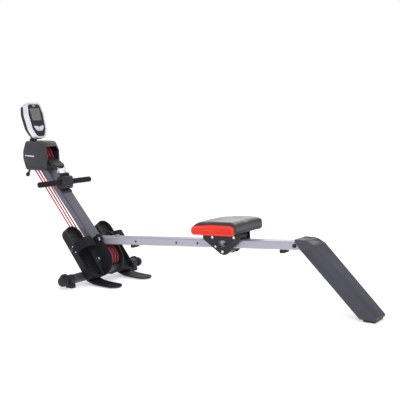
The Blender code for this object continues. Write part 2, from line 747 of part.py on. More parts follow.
# Foot pedals on one axle, each with a heel tongue and a foot strap.
for side, sign in SIDES:
    middle_y = sign * (PEDAL_INNER + PEDAL_OUTER) / 2
    half = (PEDAL_OUTER - PEDAL_INNER) / 2
    stand = PEDAL_FRAME @ Matrix.Translation((0, middle_y, 0)) @ FACE_ON

    outline = rounded(
        [(-half, -0.045), (half, -0.045), (half, PEDAL_LENGTH), (-half, PEDAL_LENGTH)],
        [0.012, 0.012, 0.048, 0.048],
        5,
    )
    floor = rounded(
        [
            (-half + 0.006, -0.10), (half - 0.006, -0.10), (half - 0.006, PEDAL_LENGTH - 0.006),
            (-half + 0.006, PEDAL_LENGTH - 0.006),
        ],
        [0.0, 0.0, 0.043, 0.043],
        5,
    )
    pedal = pedal_slab("pedal_" + side, outline, 0.0, 0.040, stand, helper=False)
    soften(pedal, 0.003, 2)
    pocket = pedal_slab("pedal_pocket_" + side, floor, 0.024, 0.060, stand)
    low_y = middle_y - 0.047
    high_y = middle_y + 0.047
    TONGUE = rounded(
        [
            (0.034, 0.0200), (0.060, 0.0015), (0.150, 0.0006), (0.224, 0.0040),
            (0.222, 0.0095), (0.150, 0.0110), (0.075, 0.0180), (0.060, 0.0380),
            (0.045, 0.0350),
        ],
        [0.001, 0.02, 0.1, 0.003, 0.003, 0.1, 0.03, 0.002, 0.001],
        3,
    )
    tongue = plate("heel_tongue_" + side, TONGUE, low_y, high_y, helper=True)
    tip = rounded([(0.0, low_y), (0.231, low_y), (0.231, high_y), (0.0, high_y)], [0, 0.045, 0.045, 0], 6)
    trim = bar("tongue_trim_" + side, tip, -0.01, 0.08, Matrix(), helper=True)
    combine(tongue, [trim], "INTERSECT")
    under = box("pedal_under_" + side, (-0.2, middle_y - 0.1, -0.1), (0.3, middle_y + 0.1, 0.0006), helper=True)
    heel_cut = box("heel_cut_" + side, (0.030, middle_y - 0.1, -0.1), (0.3, middle_y + 0.1, 0.0160), helper=True)
    bore = cross_rod("pedal_bore_" + side, PEDAL_AXLE, middle_y - 0.08, middle_y + 0.08, 0.0063, 24, True)
    cut(pedal, pocket, heel_cut)
    join(pedal, tongue)
    cut(pedal, under, bore)
    dress(pedal, "black_plastic", PEDAL_AXLE)

    loop_low = 0.108
    loop_high = 0.163
    strap_arch = rounded(
        [
            (0.0565, 0.0280), (0.0565, 0.060), (0.040, 0.105), (-0.040, 0.105),
            (-0.0565, 0.060), (-0.0565, 0.0280),
        ],
        [0.0, 0.04, 0.04, 0.04, 0.04, 0.0],
        5,
    )
    inner_arch = rounded(
        [
            (0.0543, 0.0280), (0.0543, 0.0595), (0.039, 0.1028), (-0.039, 0.1028),
            (-0.0543, 0.0595), (-0.0543, 0.0280),
        ],
        [0.0, 0.039, 0.038, 0.038, 0.039, 0.0],
        5,
    )
    arch = [(rise, across) for across, rise in strap_arch]
    arch += [(rise, across) for across, rise in reversed(inner_arch)]
    strap_frame = PEDAL_FRAME @ Matrix.Translation((0, middle_y, 0))
    loop = bar("pedal_strap_" + side, arch, loop_low, loop_high, strap_frame)
    dress(loop, "black_webbing", PEDAL_AXLE)

# Rail with its stops and side bolt.
rail_half = RAIL_WIDTH / 2
rail_section = rounded_bar(rail_half, -RAIL_HEIGHT, 0, 0.005)
rail_hollow = rounded_bar(rail_half - RAIL_WALL, -RAIL_HEIGHT + RAIL_WALL, -RAIL_WALL, 0.003)
LENGTHWAYS = RAIL_FRAME @ Matrix.Rotation(math.radians(90), 4, "Y") @ Matrix.Rotation(math.pi, 4, "Z")
stretch = math.hypot(1, RAIL_SLOPE)
rail = bar(
    "rail",
    rail_section,
    RAIL_FRONT_X * stretch,
    RAIL_REAR_X * stretch,
    LENGTHWAYS,
    hole=rail_hollow,
)
cut(rail, cross_rod("rail_pivot_bore", PIVOT, -0.06, 0.06, 0.0063, 24, helper=True))
for number, x in enumerate((0.255, 0.514, 0.642)):
    cut(rail, cross_rod(f"rail_hole_{number}", rail_point(x, -0.020), -0.06, 0.06, 0.0045, 16, True))
dress(rail, "silver_paint", PIVOT)


def on_rail(name, x_low, x_high, half_width, low, high, helper=False):
    """A block lined up with the rail, its heights measured from the rail's top face."""
    return box(
        name,
        (x_low * stretch, -half_width, low),
        (x_high * stretch, half_width, high),
        RAIL_FRAME,
        helper,
    )


stop_top = -RAIL_HEIGHT - GAP
STOPS = (("front", 0.212, 0.232, 0.016), ("rear", 1.093, 1.119, 0.018))
for where, stop_low, stop_high, depth in STOPS:
    stop = on_rail("rail_stop_" + where, stop_low, stop_high, 0.028, stop_top - depth, stop_top)
    dress(soften(stop, 0.004), "black_rubber", PIVOT)
bolt_spot = rail_point(1.177, -0.020)
for side, sign in SIDES:
    low, high = sorted((sign * (rail_half + GAP), sign * (rail_half + 0.008)))
    knob = cross_rod("rail_end_bolt_" + side, bolt_spot, low, high, 0.0095, 24)
    dress(soften(knob, 0.003, 2), "black_plastic", PIVOT)

# Rear leg, cast in one piece over the rail's end, and its rubber foot.
LEG = rounded(
    [
        (1.189, 0.3370), (1.189, 0.3245), (1.2215, 0.2870), (1.5110, 0.0110),
        (1.5180, 0.0105), (1.5895, 0.0105), (1.5880, 0.0230), (1.2900, 0.3180),
        (1.2500, 0.3370),
    ],
    [0.002, 0.002, 0.02, 0.004, 0.002, 0.004, 0.02, 0.05, 0.04],
    4,
)
leg = soften(plate("rear_leg", LEG, -LEG_HALF, LEG_HALF), 0.012, 2, 50)
leg_room = on_rail("leg_socket", 1.0, RAIL_REAR_X + 0.0004, rail_half + GAP, -RAIL_HEIGHT - GAP, GAP, helper=True)
dress(cut(leg, leg_room), "dark_paint", PIVOT)
foot = soften(box("rear_foot", (1.5250, -0.050, 0.0), (1.5820, 0.050, 0.0102)), 0.003)
dress(foot, "black_rubber", PIVOT)

# Seat, its red side trims and the carriage that rolls on the rail.
SEAT_CENTRE = rail_point(0.800, 0.0)


def rail_plate(name, outline, low_y, high_y, helper=False):
    """A side-view outline in rail coordinates (along the rail, above its top face)."""
    return plate(name, outline, low_y, high_y, helper, RAIL_FRAME)


SEAT_SIDE = [
    (0.676, 0.0392), (0.932, 0.0392), (0.932, 0.0860), (0.915, 0.0965), (0.800, 0.1000), (0.700, 0.0950),
    (0.676, 0.0800),
]
SEAT = rounded(SEAT_SIDE, [0.012, 0.012, 0.015, 0.03, 0.3, 0.04, 0.02], 3)
seat = rail_plate("seat_cushion", SEAT, -SEAT_OUTER, SEAT_OUTER)
soften(seat, 0.012, 2, 50)
TRIM_SIDE = [(0.677, 0.038), (0.920, 0.033), (0.920, 0.080), (0.800, 0.0865), (0.685, 0.0800)]
TRIM = rounded(TRIM_SIDE, [0.018, 0.016, 0.018, 0.3, 0.018], 4)
ROOM = rounded([(0.660, 0.020), (0.9204, 0.020), (0.9204, 0.0804), (0.800, 0.0869), (0.660, 0.0800)], 0.016, 4)
for side, sign in SIDES:
    low, high = sorted((sign * SEAT_HALF, sign * 0.2))
    cut(seat, rail_plate("trim_room_" + side, ROOM, low, high, helper=True))
    low, high = sorted((sign * (SEAT_HALF + GAP), sign * (SEAT_HALF + 0.0125)))
    dress(soften(rail_plate("seat_trim_" + side, TRIM, low, high), 0.003, 2), "red_plastic", SEAT_CENTRE)
dress(seat, "black_leather", SEAT_CENTRE)

CARRIAGE = rounded(
    [
        (0.688, 0.0370), (0.690, 0.0050), (0.786, -0.0680), (0.822, -0.0700),
        (0.900, -0.002), (0.900, 0.0370),
    ],
    [0.002, 0.006, 0.010, 0.010, 0.008, 0.002],
    3,
)
carriage = rail_plate("seat_carriage", CARRIAGE, -0.0505, -0.0465)
carriage_far = rail_plate("carriage_far", CARRIAGE, 0.0465, 0.0505, helper=True)
deck_top = 0.0388
deck = rail_plate("carriage_deck", [
    (0.686, 0.0348), (0.902, 0.0348), (0.902, deck_top), (0.686, deck_top),
], -0.058, 0.058, helper=True)
join(carriage, carriage_far, deck)
window = rail_plate(
    "carriage_window",
    rounded([
        (0.762, -0.012), (0.790, -0.036), (0.812, -0.034), (0.822, -0.010),
        (0.800, 0.004),
    ], 0.008, 3),
    -0.06,
    0.06,
    helper=True,
)
cut(carriage, window)
ROLLERS = (
    ("front", rail_point(TOP_AXLES[0], SEAT_ROLLER + GAP)),
    ("rear", rail_point(TOP_AXLES[1], SEAT_ROLLER + GAP)),
    ("lower", rail_point(LOWER_AXLE, -RAIL_HEIGHT - SEAT_ROLLER - GAP)),
)
for where, centre in ROLLERS:
    cut(carriage, cross_rod("carriage_bore_" + where, centre, -0.07, 0.07, 0.0042, 16, True))
    spool = [
        (0.0190, -0.0440),
        (0.0190, -rail_half - 0.0022),
        (SEAT_ROLLER, -rail_half - 0.0008),
        (SEAT_ROLLER, rail_half + 0.0008),
        (0.0190, rail_half + 0.0022),
        (0.0190, 0.0440),
        (0.0042, 0.0440),
        (0.0042, -0.0440),
    ]
    dress(turned("seat_roller_" + where, spool, centre, 28), "black_plastic", centre)
    axle = cross_rod("roller_axle_" + where, centre, -0.0545, 0.0545, 0.0039, 16)
    for side, sign in SIDES:
        low, high = sorted((sign * 0.0508, sign * 0.0560))
        join(axle, cross_rod(f"axle_head_{where}_{side}", centre, low, high, 0.0078, 18, True))
    dress(axle, "bright_steel", SEAT_CENTRE)
dress(carriage, "grey_paint", SEAT_CENTRE)
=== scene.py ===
"""Looks of the elastic-cord rowing machine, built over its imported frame.

Each sub-assembly is a class that holds its sizes, builds its pieces and dresses them. Shapes are
drawn with X rearward from the stabilizer's line, Y across and Z up, then moved into the frame.
"""

import logging
import math
from dataclasses import dataclass, field
from enum import Enum
from typing import Iterable, Optional, Sequence

import bmesh
import bpy
from mathutils import Matrix, Vector, noise


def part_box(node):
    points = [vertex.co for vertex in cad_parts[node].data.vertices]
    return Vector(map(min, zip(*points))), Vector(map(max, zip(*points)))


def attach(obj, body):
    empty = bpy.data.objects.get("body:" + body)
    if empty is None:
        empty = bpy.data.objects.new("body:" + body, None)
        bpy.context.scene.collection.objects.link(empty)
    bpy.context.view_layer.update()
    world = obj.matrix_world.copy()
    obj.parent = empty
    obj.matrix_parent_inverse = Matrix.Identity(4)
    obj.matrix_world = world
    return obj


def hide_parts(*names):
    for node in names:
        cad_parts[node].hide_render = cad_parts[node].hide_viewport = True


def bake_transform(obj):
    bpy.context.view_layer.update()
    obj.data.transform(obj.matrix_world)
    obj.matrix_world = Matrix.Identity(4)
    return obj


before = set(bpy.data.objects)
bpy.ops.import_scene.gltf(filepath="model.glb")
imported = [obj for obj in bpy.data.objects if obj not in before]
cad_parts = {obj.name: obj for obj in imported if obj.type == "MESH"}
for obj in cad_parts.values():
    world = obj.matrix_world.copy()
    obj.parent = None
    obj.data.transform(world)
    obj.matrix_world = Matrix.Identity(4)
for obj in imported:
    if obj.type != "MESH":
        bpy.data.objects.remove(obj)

LOG = logging.getLogger("rowing_machine")
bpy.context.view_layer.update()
PIVOT_X = 0.016
SHIFT = (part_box("rail_pivot_pin")[0].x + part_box("rail_pivot_pin")[1].x) / 2 - PIVOT_X
GAP = 0.0003
RAIL_HALF = 0.0687 / 2
SHARP_ANGLE = 32.0
SIDES = (("left", -1), ("right", 1))
SIDE_ON = Matrix.Rotation(math.radians(90), 4, "X")
Outline = Sequence[tuple[float, float]]


# ---------------------------------------------------------------- shader groups
class Effects:
    """The shader node groups that the finishes share, each built once."""

    made: dict[str, bpy.types.NodeTree] = {}

    @classmethod
    def start(cls, name: str, inputs: dict[str, float], outputs: dict[str, str]) -> bpy.types.NodeTree:
        """Makes an empty group with named sockets.

        Args:
            name: the group's name.
            inputs: float inputs and their defaults.
            outputs: output names and socket types.

        Returns:
            The new node tree.
        """
        tree = bpy.data.node_groups.new(name, "ShaderNodeTree")
        for label, value in inputs.items():
            socket = tree.interface.new_socket(name=label, in_out="INPUT", socket_type="NodeSocketFloat")
            socket.default_value = value
        for label, kind in outputs.items():
            tree.interface.new_socket(name=label, in_out="OUTPUT", socket_type=kind)
        tree.nodes.new("NodeGroupInput").name = "in"
        tree.nodes.new("NodeGroupOutput").name = "out"
        cls.made[name] = tree
        return tree

    @staticmethod
    def math_node(tree: bpy.types.NodeTree, operation: str, a: object, b: object) -> bpy.types.NodeSocket:
        """A math node fed by sockets or numbers; returns its output socket.

        Args:
            tree: the node tree to add it to.
            operation: the node's operation.
            a: its first input, a socket or a number.
            b: its second input, a socket or a number.

        Returns:
            The node's output socket.
        """
        node = tree.nodes.new("ShaderNodeMath")
        node.operation = operation
        for slot_index, value in enumerate((a, b)):
            if isinstance(value, (int, float)):
                node.inputs[slot_index].default_value = value
            else:
                tree.links.new(value, node.inputs[slot_index])
        return node.outputs[0]

    @classmethod
    def grain(cls) -> bpy.types.NodeTree:
        """Fine moulded or painted grain: a height and a slow mottle, both from object coordinates.

        Returns:
            The group's node tree.
        """
        if "surface_grain" in cls.made:
            return cls.made["surface_grain"]
        tree = cls.start("surface_grain", {"Scale": 900.0, "Mottle Scale": 9.0}, {
            "Height": "NodeSocketFloat", "Mottle": "NodeSocketFloat"})
        coords = tree.nodes.new("ShaderNodeTexCoord")
        fine = tree.nodes.new("ShaderNodeTexNoise")
        fine.inputs["Detail"].default_value = 2.0
        slow = tree.nodes.new("ShaderNodeTexNoise")
        slow.inputs["Detail"].default_value = 4.0
        for node, label in ((fine, "Scale"), (slow, "Mottle Scale")):
            tree.links.new(coords.outputs["Object"], node.inputs["Vector"])
            tree.links.new(tree.nodes["in"].outputs[label], node.inputs["Scale"])
        tree.links.new(fine.outputs["Fac"], tree.nodes["out"].inputs["Height"])
        tree.links.new(slow.outputs["Fac"], tree.nodes["out"].inputs["Mottle"])
        return tree

    @classmethod
    def edge_wear(cls) -> bpy.types.NodeTree:
        """A mask that is high on worn outer edges, broken up by noise.

        Returns:
            The group's node tree.
        """
        if "edge_wear" in cls.made:
            return cls.made["edge_wear"]
        tree = cls.start("edge_wear", {"Start": 0.54, "Break Up": 60.0}, {"Mask": "NodeSocketFloat"})
        geometry = tree.nodes.new("ShaderNodeNewGeometry")
        coords = tree.nodes.new("ShaderNodeTexCoord")
        noise_node = tree.nodes.new("ShaderNodeTexNoise")
        tree.links.new(coords.outputs["Object"], noise_node.inputs["Vector"])
        tree.links.new(tree.nodes["in"].outputs["Break Up"], noise_node.inputs["Scale"])
        above = cls.math_node(tree, "SUBTRACT", geometry.outputs["Pointiness"], tree.nodes["in"].outputs["Start"])
        sharp = cls.math_node(tree, "MULTIPLY", above, 9.0)
        broken = cls.math_node(tree, "MULTIPLY", sharp, noise_node.outputs["Fac"])
        limited = cls.math_node(tree, "MINIMUM", broken, 1.0)
        floor = cls.math_node(tree, "MAXIMUM", limited, 0.0)
        tree.links.new(floor, tree.nodes["out"].inputs["Mask"])
        return tree

    @classmethod
    def weave(cls) -> bpy.types.NodeTree:
        """Crossed threads: a height and a thread mask from two waves in object coordinates.

        Returns:
            The group's node tree.
        """
        if "thread_weave" in cls.made:
            return cls.made["thread_weave"]
        tree = cls.start("thread_weave", {"Across": 260.0, "Along": 260.0}, {
            "Height": "NodeSocketFloat", "Thread": "NodeSocketFloat"})
        coords = tree.nodes.new("ShaderNodeTexCoord")
        outs = []
        for label, direction in (("Across", "Y"), ("Along", "DIAGONAL")):
            wave = tree.nodes.new("ShaderNodeTexWave")
            wave.bands_direction = direction
            wave.inputs["Distortion"].default_value = 0.6
            wave.inputs["Detail"].default_value = 1.0
            tree.links.new(coords.outputs["Object"], wave.inputs["Vector"])
            tree.links.new(tree.nodes["in"].outputs[label], wave.inputs["Scale"])
            outs.append(wave.outputs["Fac"])
        height = cls.math_node(tree, "MAXIMUM", outs[0], outs[1])
        thread = cls.math_node(tree, "MULTIPLY", outs[0], outs[1])
        tree.links.new(height, tree.nodes["out"].inputs["Height"])
        tree.links.new(thread, tree.nodes["out"].inputs["Thread"])
        return tree


Colour = tuple[float, float, float]


@dataclass(frozen=True)
class Finish:
    """A surface finish: colours, gloss, grain and wear.

    Attributes:
        name: the material's name.
        slot: the record's material slot; not used.
        colour: main colour.
        second: colour that the mottle moves towards.
        roughness: middle roughness.
        metallic: how metallic the surface is.
        grain_scale: size of the fine grain, per metre.
        bump: how strongly the grain shows.
        wear: colour of worn edges, or None.
        coat: clear coat weight.
        sheen: fabric sheen weight.
        woven: whether the grain is a weave, with painted shade between its threads.
        threads: weave pitch across and along, per metre.
        gloss: strength of the surface reflection.
    """

    name: str
    slot: str
    colour: Colour
    second: Colour
    roughness: float
    metallic: float = 0.0
    grain_scale: float = 900.0
    bump: float = 0.08
    wear: Optional[Colour] = None
    coat: float = 0.0
    sheen: float = 0.0
    woven: bool = False
    threads: tuple[float, float] = (260.0, 260.0)
    gloss: float = 0.5

    def material(self) -> bpy.types.Material:
        """Builds the material, or returns the one already built.

        Returns:
            The Blender material of this finish.
        """
        found = bpy.data.materials.get(self.name)
        if found is not None:
            return found
        made = bpy.data.materials.new(self.name)
        made.use_nodes = True
        tree = made.node_tree
        shader = tree.nodes["Principled BSDF"]
        shader.inputs["Metallic"].default_value = self.metallic
        shader.inputs["Specular IOR Level"].default_value = self.gloss
        shader.inputs["Coat Weight"].default_value = self.coat
        shader.inputs["Coat Roughness"].default_value = 0.12
        shader.inputs["Sheen Weight"].default_value = self.sheen
        shader.inputs["Sheen Roughness"].default_value = 0.4
        grain = tree.nodes.new("ShaderNodeGroup")
        grain.node_tree = Effects.grain()
        grain.inputs["Scale"].default_value = self.grain_scale
        mix = tree.nodes.new("ShaderNodeMix")
        mix.data_type = "RGBA"
        mix.inputs["A"].default_value = (*self.colour, 1)
        mix.inputs["B"].default_value = (*self.second, 1)
        tree.links.new(grain.outputs["Mottle"], mix.inputs["Factor"])
        base = mix.outputs["Result"]
        height = grain.outputs["Height"]
        if self.woven:
            weave = tree.nodes.new("ShaderNodeGroup")
            weave.node_tree = Effects.weave()
            weave.inputs["Across"].default_value = self.threads[0]
            weave.inputs["Along"].default_value = self.threads[1]
            # Painted shade: the low places between the threads are darkened to 55 % of the colour.
            dark = tree.nodes.new("ShaderNodeMix")
            dark.data_type = "RGBA"
            dark.inputs["A"].default_value = (*[c * 0.55 for c in self.colour], 1)
            tree.links.new(weave.outputs["Height"], dark.inputs["Factor"])
            tree.links.new(base, dark.inputs["B"])
            base = dark.outputs["Result"]
            height = weave.outputs["Height"]
        if self.wear is not None:
            worn = tree.nodes.new("ShaderNodeGroup")
            worn.node_tree = Effects.edge_wear()
            edge = tree.nodes.new("ShaderNodeMix")
            edge.data_type = "RGBA"
            edge.inputs["B"].default_value = (*self.wear, 1)
            tree.links.new(worn.outputs["Mask"], edge.inputs["Factor"])
            tree.links.new(base, edge.inputs["A"])
            base = edge.outputs["Result"]
        tree.links.new(base, shader.inputs["Base Color"])
        spread = tree.nodes.new("ShaderNodeMapRange")
        spread.inputs["To Min"].default_value = max(0.03, self.roughness - 0.08)
        spread.inputs["To Max"].default_value = min(1.0, self.roughness + 0.10)
        tree.links.new(grain.outputs["Mottle"], spread.inputs["Value"])
        tree.links.new(spread.outputs["Result"], shader.inputs["Roughness"])
        bump = tree.nodes.new("ShaderNodeBump")
        bump.inputs["Strength"].default_value = self.bump
        bump.inputs["Distance"].default_value = 0.0006
        tree.links.new(height, bump.inputs["Height"])
        tree.links.new(bump.outputs["Normal"], shader.inputs["Normal"])
        return made


class Finishes(Enum):
    """The finishes this machine is made in."""

    SILVER = Finish("silver_satin_paint", "silver_paint", (0.40, 0.40, 0.47), (0.46, 0.46, 0.53), 0.36,
                    metallic=0.35, bump=0.05, wear=(0.62, 0.62, 0.66), coat=0.25)
    POST = Finish("pewter_satin_paint", "pewter_paint", (0.078, 0.075, 0.104), (0.098, 0.094, 0.128), 0.40,
                  metallic=0.3, bump=0.05, wear=(0.20, 0.20, 0.24), coat=0.05, gloss=0.4)
    FRAME_GREY = Finish("frame_grey_paint", "grey_paint", (0.020, 0.021, 0.028), (0.028, 0.029, 0.037), 0.38,
                        metallic=0.2, bump=0.05, wear=(0.10, 0.10, 0.12), coat=0.05, gloss=0.3)
    STABILIZER = Finish("stabilizer_paint", "grey_paint", (0.040, 0.039, 0.052), (0.055, 0.054, 0.070), 0.36,
                        metallic=0.2, bump=0.05, wear=(0.12, 0.12, 0.14), coat=0.1, gloss=0.35)
    LEG = Finish("leg_charcoal_paint", "dark_paint", (0.012, 0.011, 0.017), (0.018, 0.017, 0.024), 0.46,
                 bump=0.14, grain_scale=600.0, wear=(0.07, 0.07, 0.09), gloss=0.2)
    BLACK_MOULD = Finish("black_moulded_plastic", "black_plastic", (0.016, 0.016, 0.018), (0.024, 0.024, 0.027), 0.46,
                         bump=0.16, grain_scale=1300.0, wear=(0.04, 0.04, 0.045), gloss=0.3)
    PEDAL = Finish("pedal_moulded_plastic", "black_plastic", (0.009, 0.009, 0.012), (0.015, 0.015, 0.019), 0.46,
                   bump=0.16, grain_scale=1100.0, wear=(0.035, 0.034, 0.042), gloss=0.22)
    HOUSING = Finish("housing_grey_plastic", "grey_plastic", (0.024, 0.023, 0.031), (0.032, 0.031, 0.040), 0.36,
                     bump=0.10, grain_scale=1500.0, wear=(0.10, 0.10, 0.11), coat=0.1, gloss=0.4)
    FACE = Finish("console_face_plastic", "grey_plastic", (0.022, 0.022, 0.034), (0.030, 0.030, 0.044), 0.30,
                  bump=0.05, grain_scale=1800.0, gloss=0.2)
    BEZEL = Finish("console_silver_lacquer", "silver_plastic", (0.74, 0.73, 0.79), (0.80, 0.79, 0.84), 0.26,
                   metallic=0.25, bump=0.03, grain_scale=2200.0, wear=(0.5, 0.5, 0.52), coat=0.4)
    RED = Finish("red_gloss_plastic", "red_plastic", (0.90, 0.026, 0.010), (0.94, 0.034, 0.014), 0.32,
                 bump=0.03, grain_scale=1200.0, wear=(0.9, 0.16, 0.12), coat=0.1, gloss=0.35)
    CORD = Finish("red_braided_sheath", "red_cord", (0.70, 0.015, 0.035), (0.80, 0.03, 0.05), 0.70,
                  bump=0.5, woven=True, threads=(420.0, 520.0), sheen=0.3)
    WEBBING = Finish("black_webbing_weave", "black_webbing", (0.014, 0.014, 0.015), (0.024, 0.024, 0.026), 0.82,
                     bump=0.6, woven=True, threads=(300.0, 300.0), sheen=0.08, gloss=0.15)
    THREAD = Finish("grey_sewing_thread", "black_webbing", (0.07, 0.07, 0.072), (0.10, 0.10, 0.10), 0.8, bump=0.3)
    FOAM = Finish("black_grip_foam", "black_foam", (0.012, 0.012, 0.013), (0.021, 0.021, 0.022), 0.86,
                  bump=0.55, grain_scale=700.0, sheen=0.05, gloss=0.2)
    LEATHER = Finish("black_grained_leather", "black_leather", (0.012, 0.0115, 0.016), (0.020, 0.019, 0.026), 0.36,
                     bump=0.28, grain_scale=420.0, wear=(0.04, 0.04, 0.048), coat=0.15, gloss=0.7)
    PIPING = Finish("black_leather_piping", "black_leather", (0.03, 0.03, 0.034), (0.04, 0.04, 0.045), 0.40, bump=0.3)
    RUBBER = Finish("black_moulded_rubber", "black_rubber", (0.012, 0.012, 0.013), (0.022, 0.022, 0.023), 0.72,
                    bump=0.30, grain_scale=800.0, wear=(0.05, 0.05, 0.05))
    STEEL = Finish("bright_plated_steel", "bright_steel", (0.62, 0.62, 0.64), (0.70, 0.70, 0.72), 0.20,
                   metallic=1.0, bump=0.03, grain_scale=1800.0, wear=(0.8, 0.8, 0.82))
    DARK_STEEL = Finish("blackened_steel", "bright_steel", (0.05, 0.05, 0.055), (0.08, 0.08, 0.085), 0.38,
                        metallic=0.9, bump=0.06, wear=(0.3, 0.3, 0.3))
    # Painted sheen: the rollers are black plastic, and this lighter grey colour stands in for their grey sheen.
    ROLLER = Finish("roller_black_plastic_painted_sheen", "black_plastic", (0.07, 0.07, 0.075), (0.095, 0.095, 0.10), 0.40)
    ORNAMENT = Finish("ornament_grey", "silver_plastic", (0.36, 0.36, 0.40), (0.42, 0.42, 0.46), 0.35)
    DISPLAY = Finish("display_grey_green", "display_glass", (0.155, 0.150, 0.125), (0.175, 0.170, 0.145), 0.16,
                     bump=0.0, coat=0.6)
    SEGMENT = Finish("display_dark_segment", "display_glass", (0.035, 0.035, 0.03), (0.04, 0.04, 0.035), 0.3,
                     bump=0.0)


# ---------------------------------------------------------------- shape tools
def rounded(points: Outline, radius: float | Sequence[float], steps: int = 7) -> list[tuple[float, float]]:
    """Replaces each corner of an outline with an arc.

    Args:
        points: the outline's corners.
        radius: one radius, or one for each corner.
        steps: divisions in each arc.

    Returns:
        The rounded outline.
    """
    count = len(points)
    radii = list(radius) if isinstance(radius, (list, tuple)) else [radius] * count
    made: list[tuple[float, float]] = []
    for index, corner in enumerate(points):
        here = Vector(corner)
        back = Vector(points[index - 1]) - here
        ahead = Vector(points[(index + 1) % count]) - here
        half = back.angle(ahead) / 2
        if radii[index] <= 0 or half > math.radians(88):
            made.append(tuple(here))
            continue
        reach = min(radii[index] / math.tan(half), 0.49 * min(back.length, ahead.length))
        size = reach * math.tan(half)
        centre = here + (back.normalized() + ahead.normalized()).normalized() * (size / math.sin(half))
        first = here + back.normalized() * reach - centre
        last = here + ahead.normalized() * reach - centre
        turn = first.angle_signed(last)
        for step in range(steps + 1):
            made.append(tuple(centre + Matrix.Rotation(-turn * step / steps, 2) @ first))
    return made


def arc(centre: Outline, radius: float, start: float, end: float, steps: int) -> list[tuple[float, float]]:
    """Points on a circle from one angle to another, in degrees.

    Args:
        centre: the circle's centre.
        radius: its radius.
        start: first angle, in degrees.
        end: last angle, in degrees.
        steps: divisions between them.

    Returns:
        The points, both ends included.
    """
    angles = [math.radians(start + (end - start) * step / steps) for step in range(steps + 1)]
    return [(centre[0] + radius * math.cos(a), centre[1] + radius * math.sin(a)) for a in angles]


def hexagon(centre: Sequence[float], reach: float, turn: float = 0.0) -> list[tuple[float, float]]:
    """The corners of a hexagon, the first at the turn given in degrees."""
    return arc(centre, reach, turn, turn + 300, 5)


def rectangle(low_a: float, low_b: float, high_a: float, high_b: float) -> list[tuple[float, float]]:
    """The corners of a rectangle between its lowest and highest values."""
    return [(low_a, low_b), (high_a, low_b), (high_a, high_b), (low_a, high_b)]


def span(sign: int, near: float, far: float) -> tuple[float, float]:
    """The lower and higher Y of a stretch that lies on one side of the machine."""
    low, high = sorted((sign * near, sign * far))
    return low, high


def frame_at(mark: Sequence[float], lean: float) -> Matrix:
    """A frame in the side plane with its origin on the mark, turned about Y."""
    return Matrix.Translation((mark[0], 0, mark[1])) @ Matrix.Rotation(lean, 4, "Y")


RAIL_SLOPE = 0.074
STRETCH = math.hypot(1, RAIL_SLOPE)
RAIL_FRAME = frame_at((0, 0.2354), -math.atan(RAIL_SLOPE))
POST_FRAME = frame_at((-0.150, 0.293), math.radians(-41.51))
PEDAL_FRAME = frame_at((0.020, 0.058), math.radians(-38))
CONSOLE_FRAME = Matrix.Translation((-0.4657, 0, 0.8560)) @ Matrix.Rotation(math.radians(-17), 4, "Y")
FACE_ON = Matrix.Rotation(math.radians(90), 4, "Z") @ Matrix.Rotation(math.radians(90), 4, "X")


